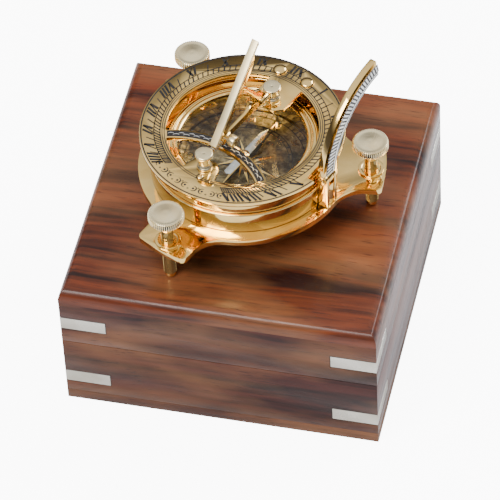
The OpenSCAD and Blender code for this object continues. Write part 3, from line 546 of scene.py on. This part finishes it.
def make_knob(side, teeth=52):
    """A knurled knob, with a black band between the teeth of its rim as painted shade in the grooves."""
    low, high = span("knob_" + side)
    radius = (high.x - low.x) / 2
    bm = turn(knob_profile(low.z, high.z, radius - 0.02), teeth * 4)
    step = 90 / teeth
    groove = [v for v in bm.verts
              if math.hypot(v.co.x, v.co.y) > radius - 0.7
              and round(math.degrees(math.atan2(v.co.y, v.co.x)) / step) % 4 in (0, 1)]
    bmesh.ops.scale(bm, vec=(0.93, 0.93, 1), verts=groove)
    at = (low + high) / 2
    bmesh.ops.translate(bm, vec=(at.x, at.y, 0), verts=bm.verts)
    to_object("knob_%s_knurled" % side, bm, "head_" + side, PALE_BRASS, ["knob_" + side])
    # A black cylinder showing between the teeth: painted shade in the knurl grooves.
    groove_shade_core = turn([(radius - 0.9, low.z + 1.9), (radius - 0.42, low.z + 1.9),
                 (radius - 0.42, high.z - 0.9), (radius - 0.9, high.z - 0.9)], teeth, True, (at.x, at.y))
    to_object("knob_%s_grooves" % side, groove_shade_core, "head_" + side, BLACK, ["knob_" + side])


def make_shank(side, pitch=0.8, depth=0.24):
    """A threaded shank with a rounded tip and a plain neck under the knob."""
    low, high = span("shank_" + side)
    radius = (high.x - low.x) / 2
    neck_z = span("knob_" + side)[0].z
    tip = radius * 0.6
    profile = [(0, low.z)] + [(tip + (radius - depth - tip) * math.sin(math.radians(t)),
                               low.z + tip * (1 - math.cos(math.radians(t)))) for t in range(0, 91, 15)]
    thread_z = low.z + tip + 1.0
    profile.append((radius - depth, thread_z))
    while thread_z < neck_z - 6:
        profile += [(radius, thread_z + pitch * 0.35), (radius, thread_z + pitch * 0.6),
                    (radius - depth, thread_z + pitch)]
        thread_z += pitch
    profile += [(radius, thread_z + 0.6), (radius, neck_z - 0.07), (1.98, neck_z - 0.07),
                (1.98, high.z), (0, high.z)]
    at = (low + high) / 2
    bm = turn(profile, 40, False, (at.x, at.y))
    to_object("shank_%s_threaded" % side, bm, "screw_" + side, BRASS, ["shank_" + side])


def make_housing():
    """The drum with its lip, the rim set back above it, and the seat of the bezel inside the rim."""
    low, high = span("compass_housing")
    radius, foot, rim_top = (high.x - low.x) / 2, low.z, high.z
    seat = span("compass_bezel")[0].z
    well = span("compass_glass")[1].x - 1.3
    tier, rim = foot + 10.8, radius - 1.2
    profile = fillet([(well, foot), (radius - 0.3, foot), (radius, foot + 0.4), (radius, tier - 0.4),
                      (radius - 0.4, tier), (rim - 0.45, tier), (rim - 0.45, tier + 0.55),
                      (rim, tier + 0.65), (rim, rim_top - 0.4), (rim - 0.4, rim_top),
                      (rim - 2, rim_top), (rim - 2, seat), (well + 1.4, seat)], 0.25)
    profile += [(well + 1.4, seat - 1.6), (well, seat - 1.6), (well, foot)]
    to_object("compass_housing_turned", turn(profile, 160), "stand", BRASS, ["compass_housing"])
    # A black ring in the step under the rim: painted shade in the groove.
    groove = turn([(rim - 1.0, tier + 0.03), (rim - 0.3, tier + 0.03), (rim - 0.3, tier + 0.5),
                   (rim - 1.0, tier + 0.5)], 160, True)
    to_object("compass_groove_shade", groove, "stand", BLACK, ["compass_housing"])
    low, high = span("compass_bezel")
    outer, foot, top = (high.x - low.x) / 2, low.z, high.z
    inner = outer - 5.7
    profile = fillet([(inner, foot), (outer, foot), (outer, foot + 1.0), (outer - 0.5, top - 0.3),
                      (outer - 1.2, top), (outer - 2.6, top), (outer - 2.9, top - 0.5), (outer - 3.4, top - 0.6),
                      (outer - 3.7, top - 0.1), (inner + 1.0, top - 0.1), (inner + 0.2, top - 0.7),
                      (inner, foot)], 0.25)
    to_object("compass_bezel_turned", turn(profile, 160), "stand", BRASS, ["compass_bezel"])


# ---------------------------------------------------------------- compass dial
def make_dial():
    low, high = span("compass_dial")
    radius, top = (high.x - low.x) / 2, high.z
    profile = fillet([(0, low.z), (radius, low.z), (radius, top - 0.25), (radius - 0.2, top - 0.07),
                      (0, top - 0.07)], 0.1)
    to_object("compass_dial_plate", turn(profile, 128), "stand", DIAL, ["compass_dial"])
    dark, bright = bmesh.new(), bmesh.new()
    for k in range(16):
        angle, long = 90 + 22.5 * k, (17.5, 10.0, 14.0, 10.0)[k % 4]
        hub = (5.2, 3.2, 4.2, 3.2)[k % 4]
        if k == 0:
            long = 22.0
        for side in (11.25, -11.25):
            corner, tip = around(hub, angle + side * 2), around(long, angle)
            bm = dark if side > 0 or k == 0 else bright
            points = [(0, 0, 0), (*corner, 0), (*tip, 0)]
            bm.faces.new([bm.verts.new(p) for p in (points if side < 0 else reversed(points))])
    for k in range(72):
        angle, long = 5 * k, 1.7 if k % 2 else 2.6
        stroke(dark, around(27.8, angle), around(27.8 + long, angle), 0.30)
    for k in range(32):
        angle = 11.25 * k
        stroke(dark, around(20.4, angle), around(21.4, angle), 0.5)
    for r, wide in ((30.6, 0.35), (27.6, 0.35), (21.8, 0.4), (20.2, 0.3)):
        arc_stroke(dark, (0, 0), r, 0, 360, wide, 4)
    for bm, name, finish, rise in ((dark, "dial_engraving", BLACK, 0.0), (bright, "dial_rose_points", BRASS, 0.01)):
        raise_flat(bm, 0.07)
        bmesh.ops.translate(bm, vec=(0, 0, top - 0.06 + rise), verts=bm.verts)
        to_object(name, bm, "stand", finish)
    letters = bmesh.new()
    for letter, angle in (("N", 90), ("E", 0), ("S", -90), ("W", 180)):
        draw_letter(letters, letter, around(24.9, angle), angle - 90, 3.9)
    for angle in range(30, 360, 30):
        if angle % 90:
            draw_number(letters, str((450 - angle) % 360), around(24.9, angle), angle - 90, 2.6)
    raise_flat(letters, 0.07)
    bmesh.ops.translate(letters, vec=(0, 0, top - 0.07), verts=letters.verts)
    to_object("dial_letters", letters, "stand", BRASS)


LETTERS = {
    "N": [((-.34, -.5), (-.34, .5), .09), ((-.34, .5), (.34, -.5), .19), ((.34, -.5), (.34, .5), .09),
          ((-.5, .5), (-.2, .5), .06), ((.2, .5), (.5, .5), .06), ((-.5, -.5), (-.2, -.5), .06)],
    "E": [((-.24, -.5), (-.24, .5), .18), ((-.34, .47), (.32, .47), .08), ((-.34, -.47), (.34, -.47), .08),
          ((-.2, 0), (.16, 0), .08), ((.32, .5), (.32, .3), .06), ((.34, -.5), (.34, -.28), .06)],
    "S": [((.28, .3), (.14, .46), .1), ((.14, .46), (-.14, .46), .12), ((-.14, .46), (-.28, .26), .16),
          ((-.28, .26), (.26, -.22), .19), ((.26, -.22), (.14, -.46), .16), ((.14, -.46), (-.14, -.46), .12),
          ((-.14, -.46), (-.28, -.3), .1)],
    "W": [((-.5, .5), (-.26, -.5), .17), ((-.26, -.5), (0, .5), .07), ((0, .5), (.24, -.5), .17),
          ((.24, -.5), (.48, .5), .07), ((-.62, .5), (-.36, .5), .06), ((-.12, .5), (.14, .5), .06),
          ((.36, .5), (.6, .5), .06)],
}
DIGITS = {
    "0": [((-.22, -.34), (-.22, .34), .15), ((-.22, .34), (0, .5), .1), ((0, .5), (.22, .34), .1),
          ((.22, .34), (.22, -.34), .15), ((.22, -.34), (0, -.5), .1), ((0, -.5), (-.22, -.34), .1)],
    "1": [((0, -.5), (0, .5), .16), ((-.16, .36), (0, .48), .09)],
    "2": [((-.22, .34), (0, .5), .1), ((0, .5), (.22, .3), .14), ((.22, .3), (-.24, -.48), .12),
          ((-.26, -.46), (.26, -.46), .1)],
    "3": [((-.22, .4), (.1, .46), .1), ((.1, .46), (.2, .22), .14), ((.2, .22), (0, .02), .1),
          ((0, .02), (.24, -.22), .14), ((.24, -.22), (0, -.5), .14), ((0, -.5), (-.24, -.38), .1)],
    "4": [((.12, -.5), (.12, .5), .15), ((.12, .5), (-.28, -.16), .08), ((-.3, -.18), (.3, -.18), .08)],
    "5": [((-.2, .46), (.22, .46), .1), ((-.18, .46), (-.2, .06), .09), ((-.2, .06), (.1, .08), .1),
          ((.1, .08), (.24, -.2), .14), ((.24, -.2), (.04, -.5), .14), ((.04, -.5), (-.24, -.38), .1)],
    "6": [((.18, .46), (-.12, .3), .1), ((-.12, .3), (-.22, -.2), .15), ((-.22, -.2), (0, -.5), .12),
          ((0, -.5), (.22, -.22), .13), ((.22, -.22), (0, .04), .12), ((0, .04), (-.2, -.14), .09)],
    "7": [((-.24, .46), (.24, .46), .1), ((.24, .46), (-.08, -.5), .15)],
    "8": [((0, .5), (-.2, .26), .12), ((-.2, .26), (.22, -.24), .14), ((.22, -.24), (0, -.5), .12),
          ((0, -.5), (-.22, -.24), .12), ((-.22, -.24), (.2, .26), .1), ((.2, .26), (0, .5), .12)],
    "9": [((-.18, -.46), (.12, -.3), .1), ((.12, -.3), (.22, .2), .15), ((.22, .2), (0, .5), .12),
          ((0, .5), (-.22, .22), .13), ((-.22, .22), (0, -.04), .12), ((0, -.04), (.2, .14), .09)],
}


def draw_strokes(bm, strokes, at, turn_by, height, shift=0.0):
    """Draws strokes given in a box one unit high, turned by an angle and centred at a place."""
    spin = Matrix.Rotation(math.radians(turn_by), 2)
    for a, b, wide in strokes:
        ends = [Vector(at) + spin @ Vector(((p[0] + shift) * height, p[1] * height)) for p in (a, b)]
        stroke(bm, ends[0], ends[1], wide * height)


def draw_letter(bm, letter, at, turn_by, height):
    draw_strokes(bm, LETTERS[letter], at, turn_by, height)


def draw_number(bm, digits, at, turn_by, height, advance=0.68):
    for k, digit in enumerate(digits):
        draw_strokes(bm, DIGITS[digit], at, turn_by, height, (k - (len(digits) - 1) / 2) * advance)


def make_needle():
    low, high = span("compass_needle")
    half, top = 1.8, high.z
    bm = bmesh.new()
    outline = [(0, high.y), (half, high.y - 4.2), (half, low.y + 0.8), (0, low.y), (-half, low.y + 0.8),
               (-half, high.y - 4.2)]
    base = [bm.verts.new((x, y, low.z)) for x, y in outline]
    rim = [bm.verts.new((x, y, low.z + 0.22)) for x, y in outline]
    ridge_n, ridge_s = bm.verts.new((0, high.y - 4.4, top)), bm.verts.new((0, low.y + 1.6, top))
    bm.faces.new(list(reversed(base)))
    for k in range(6):
        bm.faces.new((base[k], base[(k + 1) % 6], rim[(k + 1) % 6], rim[k]))
    bm.faces.new((rim[0], rim[1], ridge_n))
    bm.faces.new((rim[1], rim[2], ridge_s, ridge_n))
    bm.faces.new((rim[2], rim[3], ridge_s))
    bm.faces.new((rim[3], rim[4], ridge_s))
    bm.faces.new((rim[4], rim[5], ridge_n, ridge_s))
    bm.faces.new((rim[5], rim[0], ridge_n))
    bmesh.ops.recalc_face_normals(bm, faces=bm.faces)
    to_object("needle_bar", bm, "needle", STEEL, ["compass_needle"])
    low, high = span("needle_cap")
    profile = fillet([(0.56, low.z), (2.6, low.z), (2.6, low.z + 0.4), (1.7, low.z + 0.9),
                      (1.3, high.z - 0.4), (0.6, high.z), (0, high.z)], 0.3)
    to_object("needle_cap_turned", turn(profile, 48), "needle", BRASS, ["needle_cap"])
    low, high = span("needle_pivot")
    profile = fillet([(0, low.z), (1.8, low.z), (1.8, low.z + 0.5), (0.7, low.z + 1.2), (0.45, high.z - 0.6),
                      (0, high.z)], 0.2)
    to_object("needle_pivot_turned", turn(profile, 32), "stand", BRASS, ["needle_pivot"])
    low, high = span("compass_glass")
    radius = (high.x - low.x) / 2
    profile = fillet([(0, low.z), (radius, low.z), (radius, high.z), (0, high.z)], 0.15)
    to_object("compass_glass_disc", turn(profile, 128), "stand", GLASS, ["compass_glass"])


# ---------------------------------------------------------------- hour ring
RING_LOW, RING_HIGH = span("hour_ring")
RING_OUT = -RING_LOW.x
RING_IN = RING_OUT - 12.3
RING_TOP = RING_HIGH.z
FOCUS = Vector((0, -25.0))
NUMERALS = {4: "IIII", 5: "V", 6: "VI", 7: "VII", 8: "VIII", 9: "IX", 10: "X", 11: "XI", 12: "XII", 13: "I",
            14: "II", 15: "III", 16: "IIII", 17: "V", 18: "VI", 19: "VII", 20: "VIII"}
ROMAN = {
    "I": (0.40, [((0, -.5), (0, .5), .25), ((-.15, .48), (.15, .48), .07), ((-.15, -.48), (.15, -.48), .07)]),
    "V": (0.72, [((-.27, .5), (.02, -.5), .30), ((.27, .5), (.02, -.5), .12), ((-.4, .48), (-.14, .48), .07),
                 ((.14, .48), (.4, .48), .07)]),
    "X": (0.70, [((-.27, .5), (.27, -.5), .30), ((.25, .5), (-.25, -.5), .12), ((-.4, .48), (-.14, .48), .07),
                 ((.12, .48), (.38, .48), .07), ((-.38, -.48), (-.12, -.48), .07), ((.14, -.48), (.4, -.48), .07)]),
}
NUMERAL_R, NUMERAL_H = 43.75, 4.6
LADDER_IN, LADDER_OUT = 38.0, 40.9
NOTCH_LOW, NOTCH_HIGH, NOTCH_EAST = -8.7, 11.4, 42.9


def hour_point(hour, radius):
    """Where the line of an hour, drawn from the focus, meets a circle of the ring."""
    angle = math.radians(15 * (hour - 12))
    ray = Vector((math.sin(angle), math.cos(angle)))
    along = FOCUS.dot(ray)
    return FOCUS + ray * (-along + math.sqrt(along ** 2 - FOCUS.length_squared + radius ** 2))


def on_the_ring(point):
    return not (point.x > NOTCH_EAST - 0.4 and NOTCH_LOW - 1.6 < point.y < NOTCH_HIGH + 1.6)


def on_hour(hour, across, up):
    """A place in an hour's own box, which leans with the hour line and has its top inwards."""
    pitch = (hour_point(hour + 0.5, NUMERAL_R) - hour_point(hour - 0.5, NUMERAL_R)).length
    return hour_point(hour - across * NUMERAL_H / pitch, NUMERAL_R - up * NUMERAL_H)


def draw_numeral(bm, text, hour):
    if not on_the_ring(hour_point(hour, NUMERAL_R)):
        return
    shift = -sum(ROMAN[c][0] for c in text) / 2
    for c in text:
        advance, strokes = ROMAN[c]
        shift += advance / 2
        for a, b, wide in strokes:
            stroke(bm, on_hour(hour, a[0] + shift, a[1]), on_hour(hour, b[0] + shift, b[1]), wide * NUMERAL_H)
        shift += advance / 2


def make_ring():
    eased_node("hour_ring", "ring", BRASS, 0.25)
    bm = bmesh.new()
    for hour, text in NUMERALS.items():
        draw_numeral(bm, text, hour)
    for step in range(4 * 6 - 3, 20 * 6 + 4):
        hour = step / 6
        stroke(bm, hour_point(hour, LADDER_IN), hour_point(hour, LADDER_OUT), 0.62 if step % 6 else 0.75)
    for k in range(4, 20):
        half = hour_point(k + 0.5, LADDER_OUT)
        if on_the_ring(half * 1.08):
            stroke(bm, half, hour_point(k + 0.5, LADDER_OUT + 3.6), 0.55)
    first = math.degrees(math.atan2(*reversed(hour_point(20.55, LADDER_OUT))))
    last = 360 + math.degrees(math.atan2(*reversed(hour_point(3.45, LADDER_OUT))))
    for r in (LADDER_IN, LADDER_OUT):
        arc_stroke(bm, (0, 0), r, first, last, 0.5, 2)
    for r in (RING_IN + 0.7, RING_IN + 1.7):
        arc_stroke(bm, (0, 0), r, 0, 360, 0.4, 2)
    gap_high = math.degrees(math.asin((NOTCH_HIGH + 0.6) / (RING_OUT - 0.9)))
    gap_low = math.degrees(math.asin((NOTCH_LOW - 0.6) / (RING_OUT - 0.9)))
    arc_stroke(bm, (0, 0), RING_OUT - 0.8, gap_high, 360 + gap_low, 0.65, 2)
    ornament(bm)
    raise_flat(bm)
    bmesh.ops.translate(bm, vec=(0, 0, RING_TOP - INLAY * 0.6), verts=bm.verts)
    to_object("ring_engraving", bm, "ring", BLACK)


def ornament(bm, radius=43.3, first=-118.0, last=-64.0, waves=9):
    """A running scroll with dots, between the last and the first hour."""
    pitch = (last - first) / waves
    for k in range(waves):
        at = around(radius, first + pitch * (k + 0.5))
        facing = first + pitch * (k + 0.5)
        up = 1 if k % 2 else -1
        arc_stroke(bm, at, 1.5, facing + up * 90 - 110, facing + up * 90 + 110, 0.75, 15, 0.2)
        arc_stroke(bm, at, 0.32, 0, 360, 0.6, 60)
        tip = around(radius + up * 1.1, first + pitch * k)
        arc_stroke(bm, tip, 0.35, 0, 360, 0.3, 60)


ARCH_CENTRE = Vector((0, -57.8))
ARCH_OUT, ARCH_IN = 47.0, 42.0


def make_arch_band():
    reach = math.degrees(math.acos((ARCH_CENTRE.y ** 2 + ARCH_OUT ** 2 - RING_IN ** 2)
                                   / (2 * -ARCH_CENTRE.y * ARCH_OUT))) - 0.7
    bm = bmesh.new()
    arc_stroke(bm, ARCH_CENTRE, (ARCH_OUT + ARCH_IN) / 2, 90 + reach, 90 - reach, ARCH_OUT - ARCH_IN - 1.5, 1.5)
    raise_flat(bm, 0.07)
    bmesh.ops.translate(bm, vec=(0, 0, RING_TOP - 0.035), verts=bm.verts)
    to_object("arch_enamel", bm, "ring", BLACK)
    bm = bmesh.new()
    count = 12
    for row, radius in enumerate((ARCH_OUT - 2.3, ARCH_IN + 1.9)):
        for k in range(count - row):
            angle = 90 - reach + 2.4 + (2 * reach - 4.8) * (k + 0.5 * row) / (count - 1)
            centre = ARCH_CENTRE + around(radius - 1.5, angle)
            arc_stroke(bm, centre, 2.0, angle - 48, angle + 48, 0.44, 12, 0.12)
    raise_flat(bm, 0.07)
    bmesh.ops.translate(bm, vec=(0, 0, RING_TOP - 0.01), verts=bm.verts)
    to_object("arch_scallops", bm, "ring", SILVER)


def make_post(node):
    """A turned post: foot, hollow waist and a broad flat head with a softened rim."""
    low, high = span(node)
    at = (low + high) / 2
    radius, top = (high.x - low.x) / 2, high.z
    ring = RING_TOP
    profile = fillet([(0, low.z), (1.78, low.z), (1.78, ring), (3.6, ring), (3.6, ring + 0.8),
                      (2.9, ring + 1.5), (2.5, ring + 2.4), (2.6, top - 2.9), (3.4, top - 2.2),
                      (radius, top - 1.7), (radius, top - 0.4), (radius - 0.35, top - 0.02),
                      (0.6, top - 0.02), (0.3, top - 0.12), (0, top - 0.12)], 0.3)
    to_object(node + "_turned", turn(profile, 64, False, (at.x, at.y)), "ring", PALE_BRASS, [node])


def make_rivets():
    low, high = span("ring_rivets")
    at_e, at_n = high.x - 3.4, (low.y + high.y) / 2
    ring = RING_TOP
    for side, name in ((-1, "west"), (1, "east")):
        dome = [(3.4 * math.cos(math.radians(t)), ring + 1.5 * math.sin(math.radians(t))) for t in range(0, 91, 10)]
        profile = [(0, low.z), (1.9, low.z), (1.9, low.z + 0.7), (1.2, low.z + 0.7), (1.2, ring - 0.02)] + dome[:-1]
        profile += [(0, ring + 1.5)]
        to_object("ring_rivet_" + name, turn(profile, 48, False, (side * at_e, at_n)), "ring", BRASS,
                  ["ring_rivets"])
    stud = [(1.9 * math.cos(math.radians(t)), ring - 0.02 + 1.1 * math.sin(math.radians(t))) for t in range(0, 91, 15)]
    to_object("ring_stud", turn([(0, ring - 0.02)] + stud[:-1] + [(0, ring + 1.08)], 32, False, (2.2, -35.6)),
              "ring", DEEP_BRASS)


# ---------------------------------------------------------------- gnomon
def make_spring():
    """Coils of round wire about the south pivot."""
    low, high = span("gnomon_spring")
    wire = 0.24
    radius = (high.x - low.x) / 2 - wire
    at_z = (low.z + high.z) / 2
    turns, per_turn = 7, 20
    rise = (high.y - low.y - 2 * wire) / (turns * per_turn)
    bm = bmesh.new()
    made = bmesh.ops.create_circle(bm, segments=8, radius=wire, cap_ends=False)
    start = made["verts"]
    bmesh.ops.translate(bm, vec=(radius, 0, 0), verts=start)
    edges = bm.edges[:]
    bmesh.ops.spin(bm, geom=start + edges, cent=(0, 0, 0), axis=(0, 1, 0), dvec=(0, rise, 0),
                   angle=2 * math.pi * turns, steps=turns * per_turn)
    bmesh.ops.holes_fill(bm, edges=[e for e in bm.edges if e.is_boundary], sides=8)
    bmesh.ops.recalc_face_normals(bm, faces=bm.faces)
    bmesh.ops.translate(bm, vec=(0, low.y + wire, at_z), verts=bm.verts)
    to_object("gnomon_spring_coiled", bm, "ring", STEEL, ["gnomon_spring"])


def make_gnomon():
    eased_node("gnomon_blade", "gnomon", BRASS, 0.3)
    eased_node("gnomon_style", "gnomon", STYLE_BRASS, 0.45, segments=3)
    eased_node("gnomon_clamp_screw", "gnomon", PALE_BRASS, 0.2)
    eased_node("gnomon_pivots", "ring", BRASS, 0.15)
    make_spring()


# ---------------------------------------------------------------- latitude arc
ARC_LOW, ARC_HIGH = span("latitude_arc")
ARC_CENTRE = (42.0, RING_TOP - 2 - 6.4)
ARC_OUT, ARC_IN = 45.7, 37.5
ARC_FACE = Matrix(((0, 0, 1, 0), (1, 0, 0, 0), (0, 1, 0, 0), (0, 0, 0, 1)))


def on_arc_face(name, bm, finish, rise):
    """Lays a flat drawing in (noon, height) on the arc's east face."""
    bmesh.ops.transform(bm, matrix=Matrix.Translation((ARC_HIGH.x - 0.045 + rise, 0, 0)) @ ARC_FACE,
                        verts=bm.verts)
    to_object(name, bm, "arc", finish)


def make_arc():
    eased_node("latitude_arc", "arc", BRASS, 0.35)
    start, end = 171.0, 93.0
    face = bmesh.new()
    arc_stroke(face, ARC_CENTRE, (ARC_OUT + ARC_IN) / 2, start, end, ARC_OUT - ARC_IN - 0.9, 1.5)
    on_arc_face("arc_silvering", raise_flat(face, 0.04), SILVER, -0.01)
    marks = bmesh.new()
    inner, outer = ARC_OUT - 5.6, ARC_OUT - 0.8
    for r in (outer, inner, ARC_IN + 1.0):
        arc_stroke(marks, ARC_CENTRE, r, start - 1, end + 1, 0.5, 1.5)
    rungs = 30
    for k in range(rungs + 1):
        angle = start - 1 - (start - end - 2) * k / rungs
        stroke(marks, Vector(ARC_CENTRE) + around(inner, angle - 1.2), Vector(ARC_CENTRE) + around(outer, angle), 0.9)
    on_arc_face("arc_graduation", raise_flat(marks, 0.07), BLACK, 0.0)


def make_fittings():
    for node, body, width in (("ring_hinge_bracket", "stand", 0.3), ("ring_hinge_pin", "stand", 0.15),
                              ("arc_bracket", "stand", 0.4), ("arc_hinge_pin", "stand", 0.15),
                              ("ring_hinge_leaf", "ring", 0.2), ("plate_screws", "stand", 0.1)):
        eased_node(node, body, BRASS if "bracket" in node else DEEP_BRASS, width)
    for node, body in (("base_hinge_leaves", "case"), ("base_hinge_screws", "case"), ("case_hinge_pins", "case"),
                       ("lid_hinge_leaves", "lid"), ("lid_hinge_screws", "lid")):
        eased_node(node, body, HINGE_BRASS, 0.1, CASE)


# ---------------------------------------------------------------- stage
VIEW_AZIMUTH, VIEW_ELEVATION, VIEW_ROLL = 15.2, 48.0, -3.4
VIEW_DISTANCE, VIEW_LENS, SENSOR = 2.0216, 305.65, 36
VIEW_TARGET = Vector((-0.0024, -0.0007, 0.035))


def make_camera():
    azimuth, elevation, roll = (math.radians(v) for v in (VIEW_AZIMUTH, VIEW_ELEVATION, VIEW_ROLL))
    back = Vector((math.sin(azimuth) * math.cos(elevation), -math.cos(azimuth) * math.cos(elevation),
                   math.sin(elevation)))
    level = (-back).cross(UP).normalized()
    upright = level.cross(-back)
    right = level * math.cos(roll) + upright * math.sin(roll)
    top = upright * math.cos(roll) - level * math.sin(roll)
    lens = bpy.data.cameras.new("camera")
    lens.lens, lens.sensor_width = VIEW_LENS, SENSOR
    lens.clip_start, lens.clip_end = 0.1, 20
    camera = bpy.data.objects.new("camera", lens)
    camera.matrix_world = Matrix.Translation(VIEW_TARGET + back * VIEW_DISTANCE) \
        @ Matrix((right, top, back)).transposed().to_4x4()
    bpy.context.scene.collection.objects.link(camera)
    bpy.context.scene.camera = camera


def softbox(name, place, aim, size, power, colour=(1, 1, 1)):
    lamp = bpy.data.lights.new(name, "AREA")
    lamp.shape, lamp.size, lamp.size_y = "RECTANGLE", size[0], size[1]
    lamp.energy, lamp.color = power, colour
    light = bpy.data.objects.new(name, lamp)
    light.location = place
    light.rotation_euler = (Vector(aim) - Vector(place)).to_track_quat("-Z", "Y").to_euler()
    bpy.context.scene.collection.objects.link(light)


def make_stage():
    bm = bmesh.new()
    bmesh.ops.create_grid(bm, x_segments=1, y_segments=1, size=4)
    mesh = bpy.data.meshes.new("floor")
    bm.to_mesh(mesh)
    bm.free()
    floor = bpy.data.objects.new("floor", mesh)
    material, tree, shader, place = new_material(
        "floor_paper", Roughness=0.9, Specular_IOR_Level=0.1, Emission_Color=(1.0, 1.0, 1.0, 1))
    seen = add(tree, "ShaderNodeLightPath").outputs["Is Camera Ray"]
    linked(tree, math_node(tree, "MULTIPLY", seen, 9.0), shader.inputs["Emission Strength"])
    linked(tree, ramp(tree, noise(tree, place, 3.0), [(0.3, (0.90, 0.91, 0.93)), (0.7, (0.93, 0.94, 0.96))]),
           shader.inputs["Base Color"])
    mesh.materials.append(material)
    bpy.context.scene.collection.objects.link(floor)
    world = bpy.data.worlds.new("studio")
    bpy.context.scene.world = world
    world.use_nodes = True
    tree = world.node_tree
    sky = add(tree, "ShaderNodeSeparateXYZ", {0: add(tree, "ShaderNodeTexCoord").outputs["Generated"]})
    height = sky.outputs[2]
    linked(tree, ramp(tree, height, [(0.0, (0.34, 0.35, 0.40)), (0.10, (0.10, 0.10, 0.12)),
                                     (0.40, (0.07, 0.065, 0.07)), (0.58, (0.45, 0.45, 0.46)),
                                     (0.80, (1.0, 1.0, 1.0))]),
           tree.nodes["Background"].inputs[0])
    tree.nodes["Background"].inputs[1].default_value = 1.1
    softbox("key", (-0.5, -0.9, 1.5), (0, 0, 0.06), (1.0, 0.7), 34, (1.0, 0.985, 0.96))
    softbox("window", (0.9, 0.95, 1.0), (0, 0, 0.06), (0.9, 0.6), 20, (0.93, 0.96, 1.0))


# ---------------------------------------------------------------- putting it together
make_boards()
for strap_node, strap_body in (("base_straps", "case"), ("lid_straps", "lid")):
    make_straps(strap_node, strap_body)
make_felt("base_felt", "case")
make_felt("lid_felt", "lid")
make_plate()
for screw in ("south", "east", "west"):
    make_knob(screw)
    make_shank(screw)
make_housing()
make_dial()
make_needle()
make_ring()
make_arch_band()
make_post("post_noon")
make_post("post_south")
make_rivets()
make_gnomon()
make_arc()
make_fittings()
make_stage()
make_camera()
